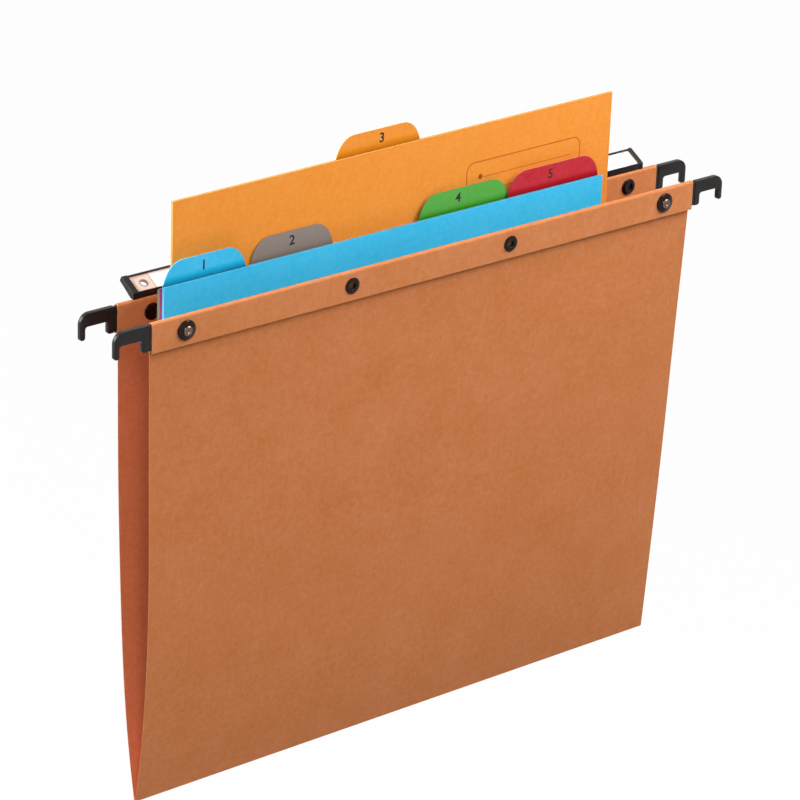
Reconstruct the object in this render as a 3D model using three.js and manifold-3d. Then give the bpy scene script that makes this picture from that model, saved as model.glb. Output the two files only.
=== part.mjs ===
// A suspension file for a drawer, with five tabbed sub-folders standing in its pocket.
// Millimetres. X runs along the rails, Y from the front of the file to its back, Z up.
// The origin lies midway between the four hooks, at the height where they sit on the drawer's rails.
import * as THREE from 'three';
import { mergeVertices } from 'three/addons/utils/BufferGeometryUtils.js';
import Module from 'manifold-3d';

const wasm = await Module();
wasm.setup();

// The two hems, each a card sleeve folded outwards over its rail
const HEM_LENGTH = 365;
const HEM_TOP = 8;
const HEM_HEIGHT = 16.5;
const HEM_THICKNESS = 3;
const HEM_SPREAD = 27;
const KRAFT = 0.45;

// The pocket, two panels that meet in a fold at the bottom
const FOLD_DEPTH = 280;
const PANEL_INSET = 0.3;
const PANEL_TAPER = 2.7;
const HINGE_GAP = 0.3;
const FILLED_BOW = 4;
const EMPTY_BOW = 1.05;
const BOW_STARTS_EASING = -60;
const BOW_EASING = 8;
const PANEL_COLUMNS = 18;
const PANEL_ROWS = 12;

// The rails and the hooks riveted to their ends
const RAIL_HEIGHT = 13;
const RAIL_THICKNESS = 1;
const RAIL_SHORT_OF_HEM = 1;
const TONGUE_THICKNESS = 0.9;
const TONGUE_LENGTH = 32;
const TONGUE_HEIGHT = 12;
const SLIP = 0.05;
const HOOK_THICKNESS = 2.6;
const HOOK_TO_HEM = 0.3;
const HOOK_TOP = 7.5;
const HOOK_DROP = 7;
const HOOK_CORNER = 6;
const INNER_LEG = 5.5;
const SLOT_WIDTH = 13.6;
const SLOT_CORNER = 1.5;
const OUTER_LEG = 3.2;
const LEG_ROUND = 1.4;

// Press studs on the front hem and their sockets on the rear one
const STUD_TO_HEM_END = 21;
const STUD_RADIUS = 5.5;
const STUD_RIM = 0.7;
const STUD_HEIGHT = 1.6;
const STUD_CROWN = 3.1;
const RIVET_RADIUS = 1.45;
const RIVET_SLIP = 0.15;
const RIVET_HEAD = 2;
const RIVET_HEAD_HEIGHT = 0.8;
const RIVET_TAIL = 3.2;
const RIVET_TAIL_THICKNESS = 0.5;
const SOCKET_INNER_RING = 4.6;
const SOCKET_INNER_HEIGHT = 1.2;
const SOCKET_OUTER_RING = 5.2;
const SOCKET_OUTER_HEIGHT = 1.4;
const SOCKET_TUBE = 3;
const SOCKET_BORE = 2.2;
const SOCKET_RECESS = 0.7;
const SOCKET_FLOOR = 0.5;
const SEAT = 0.03;

// Eyelets that pin the folded flap of each hem
const EYELET_SPACING = 107;
const EYELET_SHIFT = -2.4;
const EYELET_FLANGE = 4.5;
const EYELET_FLANGE_HEIGHT = 0.9;
const EYELET_TUBE = 2.4;
const EYELET_BORE = 1.8;
const EYELET_TAIL = 3.3;
const EYELET_TAIL_THICKNESS = 0.4;

// The slanting index holder along the top of the rear hem
const HOLDER_SHORT_OF_HEM = 10;
const HOLDER_TILT = THREE.MathUtils.degToRad(28);
const HOLDER_FRONT = 0.8;
const HOLDER_RISE = 0.6;
const HOLDER_FOOT_GAP = 0.12;
const TRAY_WIDTH = 13.2;
const TRAY_FLOOR = 0.9;
const TRAY_WALL = 2.4;
const FRONT_RIM = 1.5;
const REAR_LIP = 0.5;
const RIM_OVERHANG = 0.35;
const OVERHANG_THICKNESS = 0.4;
const LEG_DEPTH = 12;
const LEG_THICKNESS = 1;
const LEG_TO_SOCKET = 10.8;
const LEFT_CAP_LENGTH = 3.6;
const RIGHT_CAP_LENGTH = 2.2;
const CAP_MARGIN = 0.25;
const LABEL_THICKNESS = 0.3;
const LABEL_SLIP = 0.15;
const FINGER_HOLE = 1.9;
const FINGER_HOLE_TO_CAP = 6.9;
const WINDOW_THICKNESS = 0.3;

// The sub-folders, each one card folded at the bottom with an index tab on its rear leaf
const LEAF_LENGTH = 292;
const LEAF_HEIGHT = 266;
const LEAF_CARD = 0.4;
const LEAF_SPACE = 0.5;
const SUB_FOLDER_GAP = 0.4;
const SUB_FOLDER_FOOT = 27;
const SUB_FOLDER_LEAN = THREE.MathUtils.degToRad(0.66);
const TAB_HEIGHT = 11.5;
const TAB_SHOULDER = 12;
const STORED_LIFT = 42;

// From the front of the pocket to the back: the left edge from the hem's left end, the tab from the leaf's nearer
// end, how much taller than TAB_HEIGHT it is, how far the piece stands up, how far its leaves stop short of the full
// height under the tab, and its tilt
const SUB_FOLDERS = [
  { name: 'blue', colour: 0x2fb0e0, fromEnd: 13.65, tabFromLeft: 0, tabWidth: 51.5, tall: 1, lift: 0, short: 0, tilt: 0 },
  { name: 'red', colour: 0xc63340, fromEnd: 13.3, tabFromRight: 1.2, tabWidth: 63, tall: 0, lift: 1.2, short: 2.8, tilt: 0 },
  { name: 'green', colour: 0x55a743, fromEnd: 13.9, tabFromRight: 64, tabWidth: 60.5, tall: 0, lift: 0, short: 2.3, tilt: 0 },
  { name: 'grey', colour: 0x968a80, fromEnd: 14.3, tabFromLeft: 58, tabWidth: 52.5, tall: 0, lift: -0.8, short: 2.2, tilt: 0 },
  {
    name: 'orange', colour: 0xf0993a, fromEnd: 25, tabFromLeft: 103.5, tabWidth: 55.5, tall: 0,
    lift: STORED_LIFT, short: 0, tilt: THREE.MathUtils.degToRad(0.43),
  },
];

// Sizes that follow from the ones above
const HALF_SPREAD = HEM_SPREAD / 2;
const HEM_BOTTOM = HEM_TOP - HEM_HEIGHT;
const HEM_MIDDLE = (HEM_TOP + HEM_BOTTOM) / 2;
const OUTER_FACE = HALF_SPREAD + HEM_THICKNESS;
const PANEL_TOP = HEM_BOTTOM - HINGE_GAP;
const FOLD_Z = HEM_TOP - FOLD_DEPTH;
const RAIL_LENGTH = HEM_LENGTH - 2 * RAIL_SHORT_OF_HEM;
const HOLDER_LENGTH = HEM_LENGTH - 2 * HOLDER_SHORT_OF_HEM;
const TONGUE_DEPTH = KRAFT + SLIP;
const RAIL_DEPTH = TONGUE_DEPTH + TONGUE_THICKNESS + SLIP;
const STUD_X = HEM_LENGTH / 2 - STUD_TO_HEM_END;
const FRONT = -1;
const REAR = 1;
const SIDES = [[-1, 'left'], [1, 'right']];
const ROUND = 28;

const plastic = { color: 0x322a2c, roughness: 0.45, metalness: 0 };
const kraft = { color: 0xc07844, roughness: 0.9, metalness: 0 };
const kraftInside = { color: 0xb9664a, roughness: 0.9, metalness: 0 };
const steel = { color: 0xb4b2ae, roughness: 0.35, metalness: 1 };

// Closed solids from geometry classes, and back again
function solidOf(geometry) {
  const bare = geometry.clone();
  bare.deleteAttribute('normal');
  bare.deleteAttribute('uv');
  const merged = mergeVertices(bare, 1e-5);
  const corners = merged.index.array;
  const triangles = [];
  for (let i = 0; i < corners.length; i += 3) {
    const [a, b, c] = corners.slice(i, i + 3);
    if (a !== b && b !== c && c !== a) {
      triangles.push(a, b, c);
    }
  }
  return new wasm.Manifold(new wasm.Mesh({
    numProp: 3,
    vertProperties: Float32Array.from(merged.attributes.position.array),
    triVerts: Uint32Array.from(triangles),
  }));
}

function geometryOf(solid) {
  const mesh = solid.getMesh();
  const geometry = new THREE.BufferGeometry();
  geometry.setAttribute('position', new THREE.BufferAttribute(mesh.vertProperties, 3));
  geometry.setIndex(new THREE.BufferAttribute(mesh.triVerts, 1));
  geometry.computeVertexNormals();
  return geometry;
}

function block(x0, x1, y0, y1, z0, z1) {
  const geometry = new THREE.BoxGeometry(Math.abs(x1 - x0), Math.abs(y1 - y0), Math.abs(z1 - z0));
  geometry.translate((x0 + x1) / 2, (y0 + y1) / 2, (z0 + z1) / 2);
  return solidOf(geometry);
}

// An outline in Y and Z carried along X
function alongX(shape, x0, x1, curveSegments = 6) {
  const geometry = new THREE.ExtrudeGeometry(shape, { depth: x1 - x0, bevelEnabled: false, curveSegments });
  geometry.applyMatrix4(new THREE.Matrix4().set(0, 0, 1, x0, 1, 0, 0, 0, 0, 1, 0, 0, 0, 0, 0, 1));
  return solidOf(geometry);
}

// An outline in X and Z carried along Y
function alongY(shape, y0, y1, curveSegments = 6) {
  const low = Math.min(y0, y1);
  const high = Math.max(y0, y1);
  const geometry = new THREE.ExtrudeGeometry(shape, { depth: high - low, bevelEnabled: false, curveSegments });
  geometry.applyMatrix4(new THREE.Matrix4().set(1, 0, 0, 0, 0, 0, -1, high, 0, 1, 0, 0, 0, 0, 0, 1));
  return solidOf(geometry);
}

// A round piece about an axis along Y; the profile gives radius and depth below the hem's outer face
function turned(profile, side, x) {
  const points = profile.map(([radius, depth]) => new THREE.Vector2(radius, -depth));
  const geometry = new THREE.LatheGeometry(points, ROUND);
  if (side === FRONT) {
    geometry.rotateX(Math.PI);
  }
  geometry.translate(x, side * OUTER_FACE, HEM_MIDDLE);
  return solidOf(geometry);
}

// A plain round hole through both skins of a hem, its rail and its tongue
function hole(side, x, radius, depth0, depth1) {
  const geometry = new THREE.CylinderGeometry(radius, radius, depth1 - depth0, ROUND);
  geometry.translate(x, side * (OUTER_FACE - (depth0 + depth1) / 2), HEM_MIDDLE);
  return solidOf(geometry);
}

function pieceOf(name, solid, look) {
  const piece = new THREE.Mesh(geometryOf(solid), new THREE.MeshStandardMaterial(look));
  piece.name = name;
  return piece;
}

// A hem: the inner skin rises from the panel, turns over the rail and comes down outside as a flap
function hemSolid(side) {
  const outline = new THREE.Shape();
  const outerRound = HEM_THICKNESS / 2;
  const innerRound = outerRound - KRAFT;
  const centre = OUTER_FACE - outerRound;
  outline.moveTo(OUTER_FACE, HEM_BOTTOM);
  outline.lineTo(OUTER_FACE, HEM_TOP - outerRound);
  outline.absarc(centre, HEM_TOP - outerRound, outerRound, 0, Math.PI, false);
  outline.lineTo(HALF_SPREAD, HEM_BOTTOM);
  outline.lineTo(HALF_SPREAD + KRAFT, HEM_BOTTOM);
  outline.lineTo(HALF_SPREAD + KRAFT, HEM_TOP - outerRound);
  outline.absarc(centre, HEM_TOP - outerRound, innerRound, Math.PI, 0, true);
  outline.lineTo(OUTER_FACE - KRAFT, HEM_BOTTOM);
  outline.closePath();
  let hem = alongX(outline, -HEM_LENGTH / 2, HEM_LENGTH / 2);
  if (side === FRONT) {
    hem = hem.mirror([0, 1, 0]);
  }
  const fastenerRadius = side === FRONT ? RIVET_RADIUS : SOCKET_TUBE;
  for (const [end] of SIDES) {
    hem = hem.subtract(hole(side, end * STUD_X, fastenerRadius + RIVET_SLIP, -1, HEM_THICKNESS + 1));
    hem = hem.subtract(hole(side, eyeletX(end), EYELET_TUBE + RIVET_SLIP, -1, KRAFT + SLIP));
  }
  return hem;
}

// How far along the rails an eyelet stands
function eyeletX(end) {
  return end * EYELET_SPACING / 2 + EYELET_SHIFT;
}

// A rail: a flat steel bar inside its hem, punched where the fasteners pass
function railSolid(side) {
  const outer = side * (OUTER_FACE - RAIL_DEPTH);
  const inner = side * (OUTER_FACE - RAIL_DEPTH - RAIL_THICKNESS);
  const half = RAIL_LENGTH / 2;
  let rail = block(-half, half, outer, inner, HEM_MIDDLE - RAIL_HEIGHT / 2, HEM_MIDDLE + RAIL_HEIGHT / 2);
  const fastenerRadius = side === FRONT ? RIVET_RADIUS : SOCKET_TUBE;
  for (const [end] of SIDES) {
    rail = rail.subtract(hole(side, end * STUD_X, fastenerRadius + RIVET_SLIP, 0, HEM_THICKNESS));
    rail = rail.subtract(hole(side, eyeletX(end), EYELET_TUBE + RIVET_SLIP, 0, HEM_THICKNESS));
  }
  return rail;
}

// A hook: a bar over the drawer's rail with two legs, and a tongue that lies beside the rail in the hem
function hookSolid(side, end) {
  const start = HEM_LENGTH / 2 + HOOK_TO_HEM;
  const slotStart = start + INNER_LEG;
  const slotEnd = slotStart + SLOT_WIDTH;
  const stop = slotEnd + OUTER_LEG;
  const outline = new THREE.Shape();
  outline.moveTo(start, HOOK_TOP);
  outline.lineTo(start, -HOOK_DROP);
  outline.lineTo(slotStart - LEG_ROUND, -HOOK_DROP);
  outline.absarc(slotStart - LEG_ROUND, LEG_ROUND - HOOK_DROP, LEG_ROUND, -Math.PI / 2, 0, false);
  outline.lineTo(slotStart, -SLOT_CORNER);
  outline.absarc(slotStart + SLOT_CORNER, -SLOT_CORNER, SLOT_CORNER, Math.PI, Math.PI / 2, true);
  outline.lineTo(slotEnd - SLOT_CORNER, 0);
  outline.absarc(slotEnd - SLOT_CORNER, -SLOT_CORNER, SLOT_CORNER, Math.PI / 2, 0, true);
  outline.lineTo(slotEnd, LEG_ROUND - HOOK_DROP);
  outline.absarc(slotEnd + LEG_ROUND, LEG_ROUND - HOOK_DROP, LEG_ROUND, Math.PI, 1.5 * Math.PI, false);
  outline.lineTo(stop - LEG_ROUND, -HOOK_DROP);
  outline.absarc(stop - LEG_ROUND, LEG_ROUND - HOOK_DROP, LEG_ROUND, -Math.PI / 2, 0, false);
  outline.lineTo(stop, HOOK_TOP - HOOK_CORNER);
  outline.absarc(stop - HOOK_CORNER, HOOK_TOP - HOOK_CORNER, HOOK_CORNER, 0, Math.PI / 2, false);
  outline.closePath();
  const margin = (HEM_THICKNESS - HOOK_THICKNESS) / 2;
  let hook = alongY(outline, side * (OUTER_FACE - margin), side * (OUTER_FACE - margin - HOOK_THICKNESS));
  const tongueOuter = side * (OUTER_FACE - TONGUE_DEPTH);
  const tongueInner = side * (OUTER_FACE - TONGUE_DEPTH - TONGUE_THICKNESS);
  const tongueLow = HEM_MIDDLE - TONGUE_HEIGHT / 2;
  const tongueEnd = start - HOOK_TO_HEM - TONGUE_LENGTH;
  hook = hook.add(block(tongueEnd, start + INNER_LEG / 2, tongueOuter, tongueInner, tongueLow, tongueLow + TONGUE_HEIGHT));
  const fastenerRadius = side === FRONT ? RIVET_RADIUS : SOCKET_TUBE;
  hook = hook.subtract(hole(side, STUD_X, fastenerRadius + RIVET_SLIP, 0, HEM_THICKNESS));
  return end > 0 ? hook : hook.mirror([1, 0, 0]);
}

// The black collar of a press stud, a low dome with a hole for its rivet
function studSolid(x) {
  const bore = RIVET_RADIUS + RIVET_SLIP;
  return turned([
    [bore, -SEAT],
    [STUD_RADIUS, -SEAT],
    [STUD_RADIUS, -SEAT - STUD_RIM],
    [(STUD_RADIUS + STUD_CROWN) / 2, -SEAT - (STUD_RIM + 2 * STUD_HEIGHT) / 3],
    [STUD_CROWN, -SEAT - STUD_HEIGHT],
    [bore, -SEAT - STUD_HEIGHT],
    [bore, -SEAT],
  ], FRONT, x);
}

// The bright rivet of a press stud, from its knob outside to its tail inside the pocket
function rivetSolid(x) {
  const crown = -2 * SEAT - STUD_HEIGHT;
  const tail = HEM_THICKNESS + SEAT;
  return turned([
    [0, tail + RIVET_TAIL_THICKNESS],
    [RIVET_TAIL, tail + RIVET_TAIL_THICKNESS],
    [RIVET_TAIL, tail],
    [RIVET_RADIUS, tail],
    [RIVET_RADIUS, crown],
    [RIVET_HEAD, crown],
    [RIVET_HEAD, crown - RIVET_HEAD_HEIGHT * 0.45],
    [RIVET_HEAD * 0.75, crown - RIVET_HEAD_HEIGHT * 0.85],
    [RIVET_HEAD * 0.35, crown - RIVET_HEAD_HEIGHT],
    [0, crown - RIVET_HEAD_HEIGHT],
  ], FRONT, x);
}

// A socket: a hollow rivet through the rear hem, open behind for the next file's stud and floored in front
function socketSolid(x) {
  const inner = HEM_THICKNESS + SEAT;
  const floor = inner + SOCKET_INNER_HEIGHT - SOCKET_RECESS;
  return turned([
    [0, floor - SOCKET_FLOOR],
    [SOCKET_BORE, floor - SOCKET_FLOOR],
    [SOCKET_BORE, -SEAT - SOCKET_OUTER_HEIGHT],
    [SOCKET_OUTER_RING, -SEAT - SOCKET_OUTER_HEIGHT],
    [SOCKET_OUTER_RING, -SEAT],
    [SOCKET_TUBE, -SEAT],
    [SOCKET_TUBE, inner],
    [SOCKET_INNER_RING, inner],
    [SOCKET_INNER_RING, inner + SOCKET_INNER_HEIGHT * 0.6],
    [SOCKET_INNER_RING * 0.85, inner + SOCKET_INNER_HEIGHT],
    [SOCKET_BORE, inner + SOCKET_INNER_HEIGHT],
    [SOCKET_BORE, floor],
    [0, floor],
  ].reverse(), REAR, x);
}

// An eyelet grips the flap alone, so that the inner skin shows through its bore
function eyeletSolid(side, x, packing) {
  const outside = -SEAT - packing;
  const inside = KRAFT + SEAT;
  return turned([
    [EYELET_BORE, inside + EYELET_TAIL_THICKNESS],
    [EYELET_BORE, outside - EYELET_FLANGE_HEIGHT * 0.6],
    [(EYELET_BORE + EYELET_FLANGE) / 2, outside - EYELET_FLANGE_HEIGHT],
    [EYELET_FLANGE, outside - EYELET_FLANGE_HEIGHT * 0.4],
    [EYELET_FLANGE, outside],
    [EYELET_TUBE, outside],
    [EYELET_TUBE, inside],
    [EYELET_TAIL, inside],
    [EYELET_TAIL, inside + EYELET_TAIL_THICKNESS],
    [EYELET_BORE, inside + EYELET_TAIL_THICKNESS],
  ].reverse(), side, x);
}

// Half the pocket's width at a place along the rails and a share of the depth.
// Where the sub-folders stand the panels hang nearly plumb and turn in low down;
// past them the card draws straight towards the fold.
function pocketHalfWidth(x, share) {
  const reach = Math.max(0, (x - BOW_STARTS_EASING) / (HEM_LENGTH / 2 - BOW_STARTS_EASING));
  const empty = Math.min(1, reach ** BOW_EASING);
  const drawnIn = (1 - empty) * share ** FILLED_BOW + empty * share ** EMPTY_BOW;
  return HALF_SPREAD * (1 - drawnIn) + drawnIn * HINGE_GAP / 2;
}

// A panel of the pocket: two bowed faces a card's thickness apart, closed round the edge
function panelSolid(side) {
  const vertices = [];
  const triangles = [];
  const stride = PANEL_COLUMNS + 1;
  for (const skin of [0, KRAFT]) {
    for (let row = 0; row <= PANEL_ROWS; row += 1) {
      const share = Math.sin((row / PANEL_ROWS) * Math.PI / 2);
      const edge = HEM_LENGTH / 2 - PANEL_INSET - PANEL_TAPER * share;
      const z = PANEL_TOP + (FOLD_Z - PANEL_TOP) * share;
      for (let column = 0; column <= PANEL_COLUMNS; column += 1) {
        const x = edge * Math.sin((column / PANEL_COLUMNS - 0.5) * Math.PI);
        vertices.push(x, side * (pocketHalfWidth(x, share) + skin), z);
      }
    }
  }
  const outerStart = stride * (PANEL_ROWS + 1);
  const quad = (a, b, c, d) => triangles.push(a, b, c, a, c, d);
  for (let row = 0; row < PANEL_ROWS; row += 1) {
    for (let column = 0; column < PANEL_COLUMNS; column += 1) {
      const a = row * stride + column;
      quad(a, a + 1, a + stride + 1, a + stride);
      quad(outerStart + a, outerStart + a + stride, outerStart + a + stride + 1, outerStart + a + 1);
    }
  }
  for (let column = 0; column < PANEL_COLUMNS; column += 1) {
    const low = PANEL_ROWS * stride + column;
    quad(column, outerStart + column, outerStart + column + 1, column + 1);
    quad(low, low + 1, outerStart + low + 1, outerStart + low);
  }
  for (let row = 0; row < PANEL_ROWS; row += 1) {
    const left = row * stride;
    const right = left + PANEL_COLUMNS;
    quad(left, left + stride, outerStart + left + stride, outerStart + left);
    quad(right, outerStart + right, outerStart + right + stride, right + stride);
  }
  if (side === REAR) {
    triangles.reverse();
  }
  return new wasm.Manifold(new wasm.Mesh({
    numProp: 3,
    vertProperties: Float32Array.from(vertices),
    triVerts: Uint32Array.from(triangles),
  }));
}

// A point of the index holder: u runs up the slant from its front edge, v stands square to it
function onSlant(u, v) {
  const y = HALF_SPREAD + HOLDER_FRONT + u * Math.cos(HOLDER_TILT) - v * Math.sin(HOLDER_TILT);
  const z = HEM_TOP + HOLDER_RISE + u * Math.sin(HOLDER_TILT) + v * Math.cos(HOLDER_TILT);
  return new THREE.Vector2(y, z);
}

const LEG_INNER = OUTER_FACE + HOLDER_FOOT_GAP;
const LEG_OUTER = LEG_INNER + LEG_THICKNESS;
const TRAY_LEFT = LEFT_CAP_LENGTH - HOLDER_LENGTH / 2;
const TRAY_RIGHT = HOLDER_LENGTH / 2 - RIGHT_CAP_LENGTH;

// The hole near the left cap, through tray and label alike, by which the label is pushed along
function fingerHole() {
  const middle = onSlant((FRONT_RIM + TRAY_WIDTH - REAR_LIP) / 2, TRAY_FLOOR);
  const punch = new THREE.CylinderGeometry(FINGER_HOLE, FINGER_HOLE, 2 * TRAY_WALL, ROUND);
  punch.rotateX(Math.PI / 2 + HOLDER_TILT);
  punch.translate(TRAY_LEFT + FINGER_HOLE_TO_CAP, middle.x, middle.y);
  return solidOf(punch);
}

// The holder's body: a tray with two rims, a foot on the hem and a leg down its outer face
function holderSolid() {
  const frontFace = HALF_SPREAD + HOLDER_FRONT;
  const rimTop = TRAY_WALL * Math.tan(HOLDER_TILT);
  const under = HEM_TOP + HOLDER_RISE + (LEG_OUTER - frontFace) * Math.tan(HOLDER_TILT);
  const lipInner = TRAY_WIDTH - REAR_LIP;
  const outline = new THREE.Shape([
    new THREE.Vector2(LEG_INNER, HEM_TOP - LEG_DEPTH),
    new THREE.Vector2(LEG_OUTER, HEM_TOP - LEG_DEPTH),
    new THREE.Vector2(LEG_OUTER, under),
    onSlant(TRAY_WIDTH, 0),
    onSlant(TRAY_WIDTH, TRAY_WALL),
    onSlant(lipInner - RIM_OVERHANG, TRAY_WALL),
    onSlant(lipInner - RIM_OVERHANG, TRAY_WALL - OVERHANG_THICKNESS),
    onSlant(lipInner, TRAY_WALL - OVERHANG_THICKNESS),
    onSlant(lipInner, TRAY_FLOOR),
    onSlant(FRONT_RIM, TRAY_FLOOR),
    onSlant(FRONT_RIM, TRAY_WALL - OVERHANG_THICKNESS),
    onSlant(FRONT_RIM + RIM_OVERHANG, TRAY_WALL - OVERHANG_THICKNESS),
    onSlant(FRONT_RIM + RIM_OVERHANG, TRAY_WALL),
    onSlant(rimTop, TRAY_WALL),
    new THREE.Vector2(frontFace, HEM_TOP + HOLDER_FOOT_GAP),
    new THREE.Vector2(LEG_INNER, HEM_TOP + HOLDER_FOOT_GAP),
  ]);
  let holder = alongX(outline, TRAY_LEFT, TRAY_RIGHT);
  const legEnd = STUD_X - SOCKET_OUTER_RING - LEG_TO_SOCKET;
  for (const [end] of SIDES) {
    const away = end * HOLDER_LENGTH / 2;
    holder = holder.subtract(block(end * legEnd, away, LEG_INNER - 1, LEG_OUTER + 1, HEM_TOP - LEG_DEPTH - 1, HEM_TOP));
    holder = holder.subtract(hole(REAR, eyeletX(end), EYELET_TUBE + RIVET_SLIP, -3, 0));
  }
  return holder.subtract(fingerHole());
}

// An end cap of the index holder; the right-hand one is slotted so that the label slides out
function capSolid(end) {
  const outline = new THREE.Shape([
    new THREE.Vector2(HALF_SPREAD + HOLDER_FRONT - CAP_MARGIN, HEM_TOP + HOLDER_FOOT_GAP),
    new THREE.Vector2(OUTER_FACE, HEM_TOP + HOLDER_FOOT_GAP),
    onSlant(TRAY_WIDTH + CAP_MARGIN, -CAP_MARGIN),
    onSlant(TRAY_WIDTH + CAP_MARGIN, TRAY_WALL + CAP_MARGIN),
    onSlant(TRAY_WALL * Math.tan(HOLDER_TILT), TRAY_WALL + CAP_MARGIN),
  ]);
  const inner = HOLDER_LENGTH / 2 + SEAT - (end > 0 ? RIGHT_CAP_LENGTH : LEFT_CAP_LENGTH);
  const cap = alongX(outline, inner, HOLDER_LENGTH / 2);
  if (end > 0) {
    const slot = new THREE.Shape([
      onSlant(FRONT_RIM, TRAY_FLOOR),
      onSlant(TRAY_WIDTH - REAR_LIP, TRAY_FLOOR),
      onSlant(TRAY_WIDTH - REAR_LIP, TRAY_FLOOR + LABEL_THICKNESS + 2 * LABEL_SLIP),
      onSlant(FRONT_RIM, TRAY_FLOOR + LABEL_THICKNESS + 2 * LABEL_SLIP),
    ]);
    return cap.subtract(alongX(slot, inner - 1, HOLDER_LENGTH / 2 + 1));
  }
  return cap.mirror([1, 0, 0]);
}

// A strip lying on the tray, from one height above its floor to another
function stripSolid(low, high) {
  const front = FRONT_RIM + LABEL_SLIP;
  const back = TRAY_WIDTH - REAR_LIP - LABEL_SLIP;
  const outline = new THREE.Shape([
    onSlant(front, low),
    onSlant(back, low),
    onSlant(back, high),
    onSlant(front, high),
  ]);
  return alongX(outline, TRAY_LEFT + LABEL_SLIP, TRAY_RIGHT - LABEL_SLIP);
}

function labelSolid() {
  const low = TRAY_FLOOR + LABEL_SLIP;
  return stripSolid(low, low + LABEL_THICKNESS).subtract(fingerHole());
}

function windowSolid() {
  const low = TRAY_FLOOR + LABEL_THICKNESS + 2.5 * LABEL_SLIP;
  return stripSolid(low, low + WINDOW_THICKNESS);
}

// A sub-folder standing on its fold at z = 0, front leaf first, the tab rising from the rear leaf
function subFolderSolid({ tabFromLeft, tabFromRight, tabWidth, tall, short }) {
  const thickness = 2 * LEAF_CARD + LEAF_SPACE;
  const edge = LEAF_HEIGHT - short;
  const outer = thickness / 2;
  const inner = LEAF_SPACE / 2;
  const section = new THREE.Shape();
  section.moveTo(0, edge);
  section.lineTo(0, outer);
  section.absarc(outer, outer, outer, Math.PI, 2 * Math.PI, false);
  section.lineTo(thickness, edge);
  section.lineTo(thickness - LEAF_CARD, edge);
  section.lineTo(thickness - LEAF_CARD, outer);
  section.absarc(outer, outer, inner, 0, Math.PI, true);
  section.lineTo(LEAF_CARD, edge);
  section.closePath();
  const card = alongX(section, 0, LEAF_LENGTH);
  const tab = new THREE.Shape();
  const rise = TAB_HEIGHT + tall;
  const top = LEAF_HEIGHT + rise;
  const left = tabFromLeft ?? LEAF_LENGTH - tabFromRight - tabWidth;
  const right = left + tabWidth;
  tab.moveTo(left, edge - 1);
  tab.lineTo(right, edge - 1);
  tab.lineTo(right, LEAF_HEIGHT);
  tab.bezierCurveTo(right - 0.12 * TAB_SHOULDER, LEAF_HEIGHT + 0.5 * rise,
    right - 0.42 * TAB_SHOULDER, top, right - TAB_SHOULDER, top);
  tab.lineTo(left + TAB_SHOULDER, top);
  tab.bezierCurveTo(left + 0.42 * TAB_SHOULDER, top,
    left + 0.12 * TAB_SHOULDER, LEAF_HEIGHT + 0.5 * rise, left, LEAF_HEIGHT);
  tab.closePath();
  return card.add(alongY(tab, thickness - LEAF_CARD, thickness, 8));
}

const file = new THREE.Group();

for (const [side, where] of [[FRONT, 'front'], [REAR, 'rear']]) {
  file.add(pieceOf(`${where}_panel`, panelSolid(side), side === FRONT ? kraft : kraftInside));
  file.add(pieceOf(`${where}_hem`, hemSolid(side), kraft));
  file.add(pieceOf(`${where}_rail`, railSolid(side), steel));
  const packing = side === REAR ? HOLDER_FOOT_GAP + LEG_THICKNESS : 0;
  for (const [end, hand] of SIDES) {
    file.add(pieceOf(`${where}_${hand}_hook`, hookSolid(side, end), plastic));
    file.add(pieceOf(`${where}_${hand}_eyelet`, eyeletSolid(side, eyeletX(end), packing), plastic));
  }
}

for (const [end, hand] of SIDES) {
  file.add(pieceOf(`${hand}_stud_collar`, studSolid(end * STUD_X), plastic));
  file.add(pieceOf(`${hand}_stud_rivet`, rivetSolid(end * STUD_X), steel));
  file.add(pieceOf(`${hand}_socket`, socketSolid(end * STUD_X), plastic));
  file.add(pieceOf(`index_${hand}_cap`, capSolid(end), plastic));
}

file.add(pieceOf('index_holder', holderSolid(), plastic));
file.add(pieceOf('index_label', labelSolid(), { color: 0xf4f2ee, roughness: 0.8, metalness: 0 }));
file.add(pieceOf('index_window', windowSolid(), {
  color: 0xffffff, roughness: 0.08, metalness: 0, transparent: true, opacity: 0.3,
}));

const SUB_FOLDER_PITCH = 2 * LEAF_CARD + LEAF_SPACE + SUB_FOLDER_GAP;
const STACK_THICKNESS = SUB_FOLDERS.length * SUB_FOLDER_PITCH - SUB_FOLDER_GAP;
SUB_FOLDERS.forEach((folder, place) => {
  const piece = pieceOf(`${folder.name}_sub_folder`, subFolderSolid(folder),
    { color: folder.colour, roughness: 0.85, metalness: 0 });
  piece.position.set(folder.fromEnd - HEM_LENGTH / 2, 0, folder.lift);
  piece.rotation.y = -folder.tilt;
  const leaning = new THREE.Group();
  leaning.rotation.x = SUB_FOLDER_LEAN;
  leaning.position.set(0, place * SUB_FOLDER_PITCH - STACK_THICKNESS / 2, FOLD_Z + SUB_FOLDER_FOOT);
  leaning.add(piece);
  file.add(leaning);
});

export default file;
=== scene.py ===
"""Dresses the suspension file: its card, plastic, metal and print, the light and the camera.

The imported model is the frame. It gives the place and size of every CAD part; the surfaces here are worked out
round those places, in metres. X runs along the file's rails, Y from its front to its back, Z up.
"""
from __future__ import annotations

import logging
import math
from contextlib import contextmanager
from dataclasses import dataclass, field
from enum import Enum, IntEnum
from typing import Iterator, Sequence

import bmesh
import bpy
import numpy as np
from mathutils import Matrix, Vector


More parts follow.
